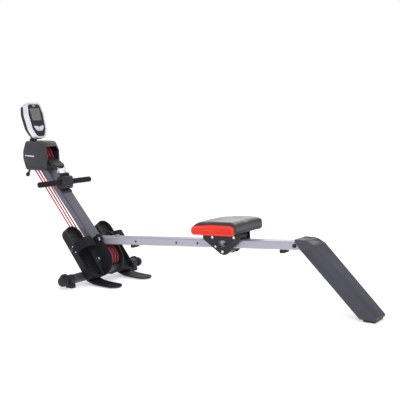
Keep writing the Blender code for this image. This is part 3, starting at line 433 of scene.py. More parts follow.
class Shop:
    """Makes meshes and puts finished pieces on their bodies."""

    @staticmethod
    def settle(bm: bmesh.types.BMesh, name: str, matrix: Matrix, sharp: float = SHARP_ANGLE) -> bpy.types.Object:
        """Turns a bmesh into an object in the frame, smooth with real edges kept sharp.

        Args:
            bm: the mesh being built; it is freed.
            name: the object's name.
            matrix: moves it into the machine's own layout.
            sharp: the angle, in degrees, above which an edge stays sharp.

        Returns:
            The new object.
        """
        bmesh.ops.remove_doubles(bm, verts=bm.verts, dist=1e-6)
        bmesh.ops.transform(bm, matrix=Matrix.Translation((SHIFT, 0, 0)) @ matrix, verts=bm.verts)
        bmesh.ops.recalc_face_normals(bm, faces=bm.faces)
        if bm.calc_volume(signed=True) < 0:
            bmesh.ops.reverse_faces(bm, faces=bm.faces)
        mesh = bpy.data.meshes.new(name)
        bm.to_mesh(mesh)
        bm.free()
        mesh.polygons.foreach_set("use_smooth", [True] * len(mesh.polygons))
        mesh.set_sharp_from_angle(angle=math.radians(sharp))
        made = bpy.data.objects.new(name, mesh)
        bpy.context.scene.collection.objects.link(made)
        return made

    @staticmethod
    def evaluated(source: bpy.types.Object) -> bmesh.types.BMesh:
        """The mesh that a curve or a modified object makes; the source is removed.

        Args:
            source: the curve or modified object.

        Returns:
            A bmesh of its evaluated mesh.
        """
        bpy.context.view_layer.update()
        graph = bpy.context.evaluated_depsgraph_get()
        mesh = bpy.data.meshes.new_from_object(source.evaluated_get(graph))
        bm = bmesh.new()
        bm.from_mesh(mesh)
        bpy.data.objects.remove(source, do_unlink=True)
        bpy.data.meshes.remove(mesh)
        return bm

    @classmethod
    def slab(cls, name: str, loops: Sequence[Outline], low: float, high: float, matrix: Matrix) -> bpy.types.Object:
        """A flat outline, with any holes, from one height to another along the frame's Z.

        Args:
            name: the piece's name.
            loops: the outline, then any holes.
            low: its lower face.
            high: its upper face.
            matrix: the frame that it is drawn in.

        Returns:
            The new piece.
        """
        curve = bpy.data.curves.new(name, "CURVE")
        curve.dimensions = "2D"
        curve.fill_mode = "BOTH"
        curve.extrude = (high - low) / 2
        for loop in loops:
            spline = curve.splines.new("POLY")
            spline.points.add(len(loop) - 1)
            for point, spot in zip(spline.points, loop):
                point.co = (spot[0], spot[1], 0, 1)
            spline.use_cyclic_u = True
        holder = bpy.data.objects.new(name + "_curve", curve)
        bpy.context.scene.collection.objects.link(holder)
        middle = Matrix.Translation((0, 0, (low + high) / 2))
        return cls.settle(cls.evaluated(holder), name, matrix @ middle)

    @classmethod
    def post_room(cls, low: float, high: float) -> bpy.types.Object:
        """A cutter that clears the main post between two heights along it."""
        return cls.slab("post_room", [rounded(rectangle(-0.0004, -0.0434, 0.0374, 0.0434), 0.008)], low, high,
                        POST_FRAME)

    @classmethod
    def plate(cls, name: str, outline: Outline, low_y: float, high_y: float,
              base: Matrix = Matrix(), holes: Sequence[Outline] = ()) -> bpy.types.Object:
        """A side-view (x, z) outline carried from one Y to another."""
        return cls.slab(name, [outline, *holes], -high_y, -low_y, base @ SIDE_ON)

    @classmethod
    def facing(cls, name: str, outline: Outline, low: float, high: float, base: Matrix) -> bpy.types.Object:
        """A face-on (y, z) outline with a depth along the frame's X."""
        return cls.slab(name, [outline], low, high, base @ FACE_ON)

    @classmethod
    def turned(cls, name: str, profile: Outline, centre: Sequence[float], segments: int = 64) -> bpy.types.Object:
        """A closed (radius, y) profile turned about a line along Y through an (x, z) centre.

        Args:
            name: the piece's name.
            profile: the (radius, y) points.
            centre: the line's (x, z).
            segments: divisions round the line.

        Returns:
            The new piece.
        """
        mesh = bpy.data.meshes.new(name)
        count = len(profile)
        mesh.from_pydata([(r, 0, y) for r, y in profile], [(i, (i + 1) % count) for i in range(count)], [])
        holder = bpy.data.objects.new(name + "_profile", mesh)
        bpy.context.scene.collection.objects.link(holder)
        screw = holder.modifiers.new("turn", "SCREW")
        screw.steps = screw.render_steps = segments
        screw.use_merge_vertices = True
        screw.merge_threshold = 0.00001
        place = Matrix.Translation((centre[0], 0, centre[1])) @ Matrix.Rotation(math.radians(-90), 4, "X")
        return cls.settle(cls.evaluated(holder), name, place)

    @classmethod
    def wire(cls, name: str, points: Sequence[Sequence[float]], radius: float, sides: int = 4) -> bpy.types.Object:
        """A round wire through the points, with closed ends.

        Args:
            name: the piece's name.
            points: the wire's centre line.
            radius: its radius.
            sides: how finely its section is divided.

        Returns:
            The new piece.
        """
        curve = bpy.data.curves.new(name, "CURVE")
        curve.dimensions = "3D"
        curve.bevel_depth = radius
        curve.bevel_resolution = sides
        curve.use_fill_caps = True
        spline = curve.splines.new("POLY")
        spline.points.add(len(points) - 1)
        for point, spot in zip(spline.points, points):
            point.co = (*spot, 1)
        holder = bpy.data.objects.new(name + "_curve", curve)
        bpy.context.scene.collection.objects.link(holder)
        return cls.settle(cls.evaluated(holder), name, Matrix())

    @classmethod
    def block(cls, name: str, low: Sequence[float], high: Sequence[float],
              base: Matrix = Matrix()) -> bpy.types.Object:
        """A box between two corners, to be bevelled.

        Args:
            name: the piece's name.
            low: its lowest corner.
            high: its highest corner.
            base: the frame that it is drawn in.

        Returns:
            The new piece.
        """
        bm = bmesh.new()
        bmesh.ops.create_cube(bm, size=1)
        centre = (Vector(low) + Vector(high)) / 2
        size = Vector(high) - Vector(low)
        return cls.settle(bm, name, base @ Matrix.Translation(centre) @ Matrix.Diagonal((*size, 1)))

    @classmethod
    def cross_rod(cls, name: str, centre: Sequence[float], low_y: float, high_y: float, radius: float,
                  chamfer: float = 0.0006, segments: int = 40) -> bpy.types.Object:
        """A round bar along Y with chamfered ends.

        Args:
            name: the piece's name.
            centre: its (x, z).
            low_y: its lower end.
            high_y: its higher end.
            radius: its radius.
            chamfer: size of the chamfers.
            segments: divisions round it.

        Returns:
            The new piece.
        """
        profile = [(0.0, low_y), (radius - chamfer, low_y), (radius, low_y + chamfer),
                   (radius, high_y - chamfer), (radius - chamfer, high_y), (0.0, high_y)]
        return cls.turned(name, profile, centre, segments)

    @staticmethod
    def soften(piece: bpy.types.Object, width: float, segments: int = 3, angle: float = 34.0) -> bpy.types.Object:
        """Rounds the sharp edges of a piece and evens its shading.

        Args:
            piece: the piece, changed in place.
            width: size of the rounding.
            segments: divisions across it.
            angle: edges sharper than this, in degrees, are rounded.

        Returns:
            The same piece.
        """
        bevel = piece.modifiers.new("round", "BEVEL")
        bevel.width = width
        bevel.segments = segments
        bevel.limit_method = "ANGLE"
        bevel.angle_limit = math.radians(angle)
        bevel.use_clamp_overlap = True
        normals = piece.modifiers.new("even_shading", "WEIGHTED_NORMAL")
        normals.keep_sharp = True
        return piece

    @staticmethod
    def applied(piece: bpy.types.Object) -> bpy.types.Object:
        """Applies a piece's modifiers for good and marks its sharp edges again.

        Args:
            piece: the piece, changed in place.

        Returns:
            The same piece.
        """
        bpy.context.view_layer.update()
        graph = bpy.context.evaluated_depsgraph_get()
        mesh = bpy.data.meshes.new_from_object(piece.evaluated_get(graph))
        piece.modifiers.clear()
        piece.data = mesh
        mesh.set_sharp_from_angle(angle=math.radians(SHARP_ANGLE))
        return piece

    @classmethod
    def carve(cls, piece: bpy.types.Object, cutters: Iterable[bpy.types.Object]) -> bpy.types.Object:
        """Cuts the cutters out of the piece for good and removes them.

        Args:
            piece: the piece, changed in place.
            cutters: the shapes to cut out.

        Returns:
            The same piece.
        """
        cutters = list(cutters)
        for cutter in cutters:
            step = piece.modifiers.new("cut", "BOOLEAN")
            step.operation = "DIFFERENCE"
            step.object = cutter
            step.solver = "EXACT"
        cls.applied(piece)
        for cutter in cutters:
            bpy.data.objects.remove(cutter, do_unlink=True)
        return piece

    @staticmethod
    def dress(piece: bpy.types.Object, finish: Finishes) -> None:
        """Gives a piece its finish.

        Args:
            piece: the piece.
            finish: its surface finish.
        """
        piece.data.materials.clear()
        piece.data.materials.append(finish.value.material())

    @classmethod
    def fit(cls, piece: bpy.types.Object, body: str, finish: Finishes, *nodes: str) -> bpy.types.Object:
        """Gives a piece its finish and its body, and hides the CAD nodes it stands for.

        Args:
            piece: the finished shape.
            body: the CAD body it rides on.
            finish: its surface finish.
            nodes: CAD nodes that it replaces.

        Returns:
            The same piece.
        """
        cls.dress(piece, finish)
        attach(piece, body)
        if nodes:
            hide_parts(*nodes)
        LOG.info("%s rides on %s", piece.name, body)
        return piece

    @classmethod
    def refined(cls, node: str, body: str, finish: Finishes, width: float, angle: float = 34.0) -> bpy.types.Object:
        """A fine copy of a CAD node: welded, its flats cleaned and its edges rounded.

        Args:
            node: the CAD node to copy.
            body: the body it rides on.
            finish: its surface finish.
            width: edge radius.
            angle: edges sharper than this are rounded.

        Returns:
            The new piece, standing for the node.
        """
        bm = bmesh.new()
        bm.from_mesh(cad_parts[node].data)
        bmesh.ops.remove_doubles(bm, verts=bm.verts, dist=2e-6)
        bmesh.ops.dissolve_limit(bm, angle_limit=math.radians(0.6), verts=bm.verts, edges=bm.edges)
        made = cls.settle(bm, node + "_fine", Matrix.Translation((-SHIFT, 0, 0)), angle)
        if width > 0:
            cls.soften(made, width, 2, angle)
        return cls.fit(made, body, finish, node)


# ---------------------------------------------------------------- sub-assemblies
@dataclass
class Stabilizer:
    """The front stabilizer: two stub tubes, moulded caps with wheels, and rubber feet."""

    centre: tuple[float, float] = (-0.003, 0.040)
    tube_radius: float = 0.025
    cap_radius: float = 0.0275
    wheel_centre: tuple[float, float] = (-0.011, 0.046)
    wheel_radius: float = 0.029

    def build(self) -> None:
        """Builds both ends."""
        for side, sign in SIDES:
            self.tube(side, sign)
            self.cap(side, sign)
            self.wheel(side, sign)
            Shop.refined("front_foot_" + side, "base", Finishes.RUBBER, 0.0012)

    def tube(self, side: str, sign: int) -> None:
        """The painted tube with its wall showing at the open end.

        Args:
            side: left or right.
            sign: -1 for left, 1 for right.
        """
        r = self.tube_radius
        low, high = sign * 0.0496, sign * 0.2752
        profile = [(r, low), (r, high), (r - 0.0022, high), (r - 0.0022, low)]
        Shop.fit(Shop.turned("stabilizer_tube_fine_" + side, profile, self.centre), "base",
                 Finishes.STABILIZER, "stabilizer_tube_" + side)

    def cap(self, side: str, sign: int) -> None:
        """The sleeve, its arm and foot stem, the wheel stub and the domed end disc.

        Args:
            side: left or right.
            sign: -1 for left, 1 for right.
        """
        r = self.cap_radius
        inner = [(0.0256, sign * 0.2455), (r - 0.001, sign * 0.245), (r, sign * 0.2462), (r, sign * 0.2755),
                 (r - 0.0025, sign * 0.2790), (0.0, sign * 0.2790), (0.0, sign * 0.2768), (0.0256, sign * 0.2768)]
        sleeve = Shop.turned("cap_sleeve_" + side, inner, self.centre)
        Shop.fit(sleeve, "base", Finishes.BLACK_MOULD, "stabilizer_cap_" + side)
        arm = rounded([(-0.029, 0.019), (0.021, 0.019), (0.022, 0.062), (-0.028, 0.064)], 0.014, 8)
        low, high = span(sign, 0.2775, 0.2808)
        Shop.fit(Shop.soften(Shop.plate("cap_arm_" + side, arm, low, high), 0.0012), "base", Finishes.BLACK_MOULD)
        low, high = span(sign, 0.2460, 0.2785)
        stem = Shop.plate("cap_stem_" + side, [(-0.020, 0.0063), (0.026, 0.0063), (0.023, 0.021), (-0.018, 0.021)],
                          low, high)
        Shop.fit(Shop.soften(stem, 0.0025), "base", Finishes.BLACK_MOULD)
        ends = [(0.0, 0.3031), (0.0225, 0.3031), (0.0262, 0.3045), (0.0266, 0.3070), (0.0266, 0.3170),
                (0.0255, 0.3230), (0.0225, 0.3275), (0.0170, 0.3296), (0.0160, 0.3288), (0.0120, 0.3288),
                (0.0110, 0.3303), (0.0, 0.3305)]
        dome = Shop.turned("cap_dome_" + side, [(r2, sign * y) for r2, y in ends], self.centre)
        Shop.fit(dome, "base", Finishes.BLACK_MOULD)
        low, high = span(sign, 0.2790, 0.3035)
        Shop.fit(Shop.cross_rod("wheel_stub_" + side, self.wheel_centre, low, high, 0.005), "base",
                 Finishes.DARK_STEEL)
        for offset in (-0.014, 0.014):
            spot = (self.centre[0] + offset, self.centre[1] + 0.0225)
            screw = Shop.cross_rod(f"cap_screw_{side}_{'f' if offset < 0 else 'r'}", spot, sign * 0.262 - 0.003,
                                   sign * 0.262 + 0.003, 0.0022, 0.0004, 16)
            Shop.fit(screw, "base", Finishes.DARK_STEEL)

    def wheel(self, side: str, sign: int) -> None:
        """The transport wheel: ribbed tread, dished web and a hub.

        Args:
            side: left or right.
            sign: -1 for left, 1 for right.
        """
        near, far = (0.2818, 0.3012)
        r = self.wheel_radius
        profile = [(0.0054, near), (0.0095, near), (0.0100, near + 0.003), (r - 0.007, near + 0.0035),
                   (r - 0.006, near), (r - 0.002, near), (r, near + 0.003)]
        for groove in range(4):
            y = near + 0.0045 + groove * 0.0035
            profile += [(r, y - 0.0008), (r - 0.0009, y), (r - 0.0009, y + 0.0006), (r, y + 0.0014)]
        profile += [(r, far - 0.003), (r - 0.002, far), (r - 0.006, far), (r - 0.007, far - 0.0035),
                    (0.0100, far - 0.003), (0.0095, far), (0.0054, far)]
        made = Shop.turned("wheel_" + side, [(a, sign * b) for a, b in profile], self.wheel_centre, 72)
        Shop.fit(made, "wheel_" + side, Finishes.RUBBER, "transport_wheel_" + side)


@dataclass
class Spool:
    """A grooved roller for the four cords."""

    node: str
    body: str
    centre: tuple[float, float]
    groove: float
    flange: float
    half_width: float
    bore: float

    def build(self) -> None:
        """Turns one round-bottomed groove for each cord."""
        profile = [(self.bore, -self.half_width), (self.flange - 0.001, -self.half_width),
                   (self.flange, -self.half_width + 0.0012)]
        for offset in Cords.offsets:
            for step in range(9):
                angle = math.pi * step / 8
                depth = (self.flange - self.groove) * math.sin(angle) ** 0.6
                profile.append((self.flange - depth, offset - 0.0052 * math.cos(angle)))
        profile += [(self.flange, self.half_width - 0.0012), (self.flange - 0.001, self.half_width),
                    (self.bore, self.half_width)]
        made = Shop.turned(self.node + "_fine", profile, self.centre, 96)
        Shop.fit(made, self.body, Finishes.BLACK_MOULD, self.node)


@dataclass
class Base:
    """The bracket's plates, its guard, the axles and the main post."""

    plate_outer: float = 0.0493

    def build(self) -> None:
        """Builds the frame that everything is bolted to."""
        Shop.refined("base_bracket", "base", Finishes.FRAME_GREY, 0.0014)
        Shop.refined("main_post", "base", Finishes.POST, 0.0006)
        self.hex_bolt("drum_axle", (0.012, 0.118), 0.0100)
        self.hex_bolt("rail_pivot_pin", (PIVOT_X, 0.2265), 0.0100)
        for side, sign in SIDES:
            low, high = span(sign, 0.0348, 0.0428)
            Shop.fit(Shop.cross_rod("rail_spacer_" + side, (PIVOT_X, 0.2265), low, high, 0.0125, 0.0006), "base",
                     Finishes.DARK_STEEL)
        self.pedal_axle((-0.055, 0.180))
        Spool("lower_drum", "drum", (0.012, 0.118), 0.0630, 0.0700, 0.0425, 0.0066).build()
        Spool("upper_roller", "guide_roller", (-0.447, 0.655), 0.0529, 0.0592, 0.0388, 0.0056).build()
        Shop.fit(Shop.cross_rod("roller_axle_fine", (-0.447, 0.655), -0.0465, 0.0465, 0.005), "base",
                 Finishes.DARK_STEEL, "roller_axle")

    def hex_bolt(self, node: str, centre: tuple[float, float], across: float) -> None:
        """A shaft with a washer and a chamfered hexagon head at each end.

        Args:
            node: the CAD node that it replaces.
            centre: its (x, z).
            across: the head's centre to a corner.
        """
        shaft = Shop.cross_rod(node + "_shaft", centre, -0.0520, 0.0520, 0.006)
        Shop.fit(shaft, "base", Finishes.STEEL, node)
        for side, sign in SIDES:
            low, high = span(sign, self.plate_outer + GAP, self.plate_outer + 0.0015)
            washer = Shop.turned(f"{node}_washer_{side}", [
                (0.0062, low), (0.0122, low), (0.0125, (low + high) / 2), (0.0122, high), (0.0062, high)], centre)
            Shop.fit(washer, "base", Finishes.STEEL)
            low, high = span(sign, self.plate_outer + 0.0016, self.plate_outer + 0.0066)
            head = Shop.plate(f"{node}_head_{side}", hexagon(centre, across, 12), low, high)
            Shop.fit(Shop.soften(head, 0.0009), "base", Finishes.STEEL)

    def pedal_axle(self, centre: tuple[float, float]) -> None:
        """The long pedal shaft with collars against the plates and nuts outside the pedals.

        Args:
            centre: its (x, z).
        """
        Shop.fit(Shop.cross_rod("pedal_axle_fine", centre, -0.1845, 0.1845, 0.006), "base", Finishes.STEEL,
                 "pedal_axle")
        for side, sign in SIDES:
            for label, start, end, radius in (("collar", 0.0496, 0.0560, 0.0095), ("nut", 0.1835, 0.1875, 0.0104)):
                low, high = span(sign, start, end)
                made = Shop.cross_rod(f"pedal_{label}_{side}", centre, low, high, radius, 0.0009)
                Shop.fit(made, "base", Finishes.STEEL if label == "collar" else Finishes.DARK_STEEL)


@dataclass
class Cords:
    """The four elastic cords, from the yoke over the roller, down and round the drum."""

    offsets = (-0.033, -0.011, 0.011, 0.033)
    radius: float = 0.00375
    roller: tuple[float, float] = (-0.447, 0.655)
    roller_run: float = 0.058
    drum: tuple[float, float] = (0.012, 0.118)
    drum_run: float = 0.068
    leave: float = math.radians(440)
    anchor_run: float = 0.034
    yoke_start: tuple[float, float] = (-0.376, 0.640)
    yoke_end: tuple[float, float] = (-0.296, 0.598)

    def on_circle(self, centre: tuple[float, float], radius: float, angle: float) -> Vector:
        """A point on a circle in the side plane."""
        return Vector((centre[0] + radius * math.cos(angle), centre[1] + radius * math.sin(angle)))

    def routes(self) -> tuple[list[Vector], list[Vector]]:
        """The stretching lead and the held run, as side-plane points.

        Returns:
            The lead from the yoke to the roller, and the run from the roller to the anchor bar.
        """
        line = Vector(self.drum) - Vector(self.roller)
        front = (math.atan2(line.y, line.x) - math.acos((self.roller_run - self.drum_run) / line.length)) % math.tau
        way = (Vector(self.yoke_end) - Vector(self.yoke_start)).normalized()
        head = Vector(self.yoke_start) + way * 0.0015
        away = Vector(self.yoke_start) - way * 0.0036 - Vector(self.roller)
        leave_roller = math.atan2(away.y, away.x) + math.acos(self.roller_run / away.length)
        roller = [self.on_circle(self.roller, self.roller_run, leave_roller + (front - leave_roller) * k / 30)
                  for k in range(31)]
        drum = [self.on_circle(self.drum, self.drum_run, front + (self.leave - front) * k / 36) for k in range(37)]
        ahead = Vector((-math.sin(self.leave), math.cos(self.leave)))
        end = drum[-1] + ahead * (self.anchor_run - 0.0005)
        lead = [head.lerp(roller[0], k / 12) for k in range(13)]
        straight = [roller[-1].lerp(drum[0], k / 24) for k in range(1, 24)]
        tail = [drum[-1].lerp(end, k / 4) for k in range(1, 5)]
        return lead, roller + straight + drum + tail

    def build(self) -> None:
        """Sheathes each cord: its run over the roller and round the drum, and its lead up to the yoke."""
        lead, held = self.routes()
        for index, y in enumerate(self.offsets):
            run = Shop.wire(f"cord_run_{index + 1}", [(p.x, y, p.y) for p in held], self.radius, 4)
            Shop.fit(run, "base", Finishes.CORD, f"cord_{index + 1}")
            piece = Shop.wire(f"cord_lead_{index + 1}", [(p.x, y, p.y) for p in lead], self.radius * 0.99, 4)
            Shop.dress(piece, Finishes.CORD)
            LOG.info("%s stretches from base to handle", piece.name)
            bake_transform(piece)


@dataclass
class RollerHousing:
    """The two-part moulded housing, its screws, peg and the console's neck."""

    half: float = 0.052
    wall: float = 0.003

    def build(self) -> None:
        """Builds both shells with a split line, recessed screws and a plain trim bar."""
        outline = rounded([(-0.508, 0.740), (-0.380, 0.740), (-0.352, 0.690), (-0.348, 0.600), (-0.362, 0.577),
                           (-0.508, 0.577), (-0.531, 0.640), (-0.531, 0.680)],
                          [0.022, 0.030, 0.03, 0.014, 0.008, 0.020, 0.05, 0.05], 8)
        inner = [(x + (-0.445 - x) * 0.040, z + (0.6585 - z) * 0.042) for x, z in outline]
        for side, sign in SIDES:
            full = Shop.soften(Shop.plate("housing_shell_" + side, outline, -self.half, self.half), 0.009, 5, 50)
            cutters = [
                Shop.plate("c1", inner, -self.half + self.wall, self.half - self.wall),
                self.block("c2", (-0.40, -0.043, 0.608), (-0.32, 0.043, 0.711), 0.008),
                self.block("c3", (-0.482, -0.0395, 0.560), (-0.400, 0.0395, 0.600), 0.004),
                Shop.post_room(0.30, 0.391),
                self.block("c5", (-0.5125, -0.0205, 0.725), (-0.4875, 0.0205, 0.760), 0.002),
            ]
            low, high = span(sign, -0.1, 0.00025)
            cutters.append(Shop.block("c6", (-0.6, low, 0.5), (-0.3, high, 0.8)))
            spots = ((-0.385, 0.718), (-0.500, 0.602), (-0.374, 0.600), (-0.503, 0.716))
            for number, (x, z) in enumerate(spots):
                low, high = span(sign, self.half - 0.0016, self.half + 0.01)
                cutters.append(Shop.cross_rod(f"c7{number}", (x, z), low, high, 0.0050))
            Shop.carve(full, cutters)
            Shop.fit(full, "base", Finishes.HOUSING, "housing_" + side)
            for number, (x, z) in enumerate(spots):
                low, high = span(sign, self.half - 0.0016, self.half - 0.0004)
                screw = Shop.cross_rod(f"housing_screw_{side}_{number}", (x, z), low, high, 0.0034, 0.0006, 24)
                Shop.fit(screw, "base", Finishes.DARK_STEEL)
            low, high = span(sign, self.half - 0.0006, self.half + 0.0007)
            bar = rounded([(-0.516, 0.6550), (-0.446, 0.6510), (-0.446, 0.6580), (-0.516, 0.6600)], 0.002, 4)
            Shop.fit(Shop.soften(Shop.plate("housing_trim_" + side, bar, low, high), 0.0004, 2), "base",
                     Finishes.BEZEL)
        Shop.refined("hook_peg", "base", Finishes.BLACK_MOULD, 0.0012)
        Shop.refined("console_neck", "base", Finishes.BLACK_MOULD, 0.0008)

    @staticmethod
    def block(name: str, low: Sequence[float], high: Sequence[float], round_edge: float) -> bpy.types.Object:
        """A cutter box with rounded edges."""
        return Shop.soften(Shop.block(name, low, high), round_edge, 4)


@dataclass
class Console:
    """The tilting display: back shell, silver bezel, dark face, display and two keys."""

    body: str = "console"

    def shield(self, scale_y: float, scale_z: float, drop: float = 0.0, steps: int = 8) -> list[tuple[float, float]]:
        """The console's outline, scaled about its centre.

        Args:
            scale_y: scale across.
            scale_z: scale up and down.
            drop: how far it is moved up.
            steps: divisions in each corner.

        Returns:
            The outline's (y, z) points.
        """
        corners = [(-0.052, 0.104), (0.052, 0.104), (0.066, 0.040), (0.060, -0.050), (0.034, -0.104),
                   (-0.034, -0.104), (-0.060, -0.050), (-0.066, 0.040)]
        radii = [0.020, 0.020, 0.05, 0.05, 0.03, 0.03, 0.05, 0.05]
        return [(y * scale_y, z * scale_z + drop) for y, z in rounded(corners, radii, steps)]

    def layer(self, name: str, outline: Outline, low: float, high: float, finish: Finishes, edge: float,
              *nodes: str, body: Optional[str] = None, segments: int = 3) -> bpy.types.Object:
        """One face-on layer of the console with rounded edges, on its body.

        Args:
            name: the piece's name.
            outline: its (y, z) outline.
            low: its rear face.
            high: its front face.
            finish: its surface finish.
            edge: size of the rounding.
            nodes: CAD nodes that it replaces.
            body: the body, if not the console.
            segments: divisions across the rounding.

        Returns:
            The new piece.
        """
        made = Shop.facing(name, outline, low, high, CONSOLE_FRAME)
        if edge > 0:
            Shop.soften(made, edge, segments)
        return Shop.fit(made, body or self.body, finish, *nodes)

    def build(self) -> None:
        """Builds the layers from the back forward."""
        self.layer("console_shell", self.shield(0.94, 0.86, 0.006), -0.055, -0.030, Finishes.FACE, 0.012,
                   "console_back", segments=6)
        knuckle = Shop.cross_rod("console_hinge", (-0.500, 0.7624), -0.0165, 0.0165, 0.0085)
        Shop.fit(knuckle, self.body, Finishes.BLACK_MOULD)
        bezel = Shop.soften(Shop.facing("console_ring", self.shield(1, 1), -0.0297, 0.0, CONSOLE_FRAME), 0.009, 6)
        Shop.carve(bezel, [Shop.facing("c", self.shield(0.86, 0.90), -0.004, 0.01, CONSOLE_FRAME)])
        Shop.fit(bezel, self.body, Finishes.BEZEL, "console_bezel")
        self.layer("console_panel", self.shield(0.852, 0.894), -0.0037, -0.0008, Finishes.FACE, 0.0008,
                   "console_face")
        screen = rounded([(-0.034, 0.000), (0.034, 0.000), (0.038, 0.070), (-0.038, 0.070)], 0.006)
        self.layer("display_frame", [(y * 1.07, 0.035 + (z - 0.035) * 1.10) for y, z in screen], -0.0009, -0.0003,
                   Finishes.BLACK_MOULD, 0.0002)
        self.layer("display", screen, -0.0004, 0.0000, Finishes.DISPLAY, 0.0001, "lcd_window")
        self.segments()
        for side, sign in SIDES:
            corners = [(sign * 0.0012, -0.063), (sign * 0.0012, -0.038), (sign * 0.034, -0.031),
                       (sign * 0.037, -0.041), (sign * 0.019, -0.061)]
            shape = rounded(corners if sign > 0 else corners[::-1], 0.004, 6)
            self.layer("key_cap_" + side, shape, -0.0010, 0.0034, Finishes.BEZEL, 0.0014, "button_" + side,
                       body="key_" + side)
        badge = rounded(rectangle(-0.013, 0.0805, 0.013, 0.0880), 0.0036)
        self.layer("face_ornament", badge, -0.0009, -0.0001, Finishes.ORNAMENT, 0.0003)

    def segments(self) -> None:
        """Rows of plain seven-bar digits and thin divider lines on the display."""
        bm = bmesh.new()
        bars = ((0, 1, 1, 0), (0, 0, 1, 0), (0, -1, 1, 0), (-1, 0.5, 0, 1), (1, 0.5, 0, 1), (-1, -0.5, 0, 1),
                (1, -0.5, 0, 1))
        for row, (z, size, count) in enumerate(((0.055, 0.0042, 4), (0.036, 0.0055, 4), (0.016, 0.0042, 4))):
            for column in range(count):
                y = (column - (count - 1) / 2) * size * 3.0
                for index, (dy, dz, flat, upright) in enumerate(bars):
                    if (index + row + column) % 5 == 4:
                        continue
                    wide = size * (0.72 if flat else 0.11)
                    tall = size * (0.72 if upright else 0.11)
                    rise = dz * size * (1.0 if flat else 0.98)
                    place = Matrix.Translation((0.00006, y + dy * size * 0.52, z + rise))
                    bmesh.ops.create_cube(bm, size=1, matrix=place @ Matrix.Diagonal((0.00012, wide, tall, 1)))
        for z in (0.0262, 0.0455):
            bmesh.ops.create_cube(bm, size=1, matrix=Matrix.Translation((0.00006, 0, z))
                                  @ Matrix.Diagonal((0.00012, 0.058, 0.0005, 1)))
        made = Shop.settle(bm, "display_digits", CONSOLE_FRAME)
        Shop.fit(made, self.body, Finishes.SEGMENT)


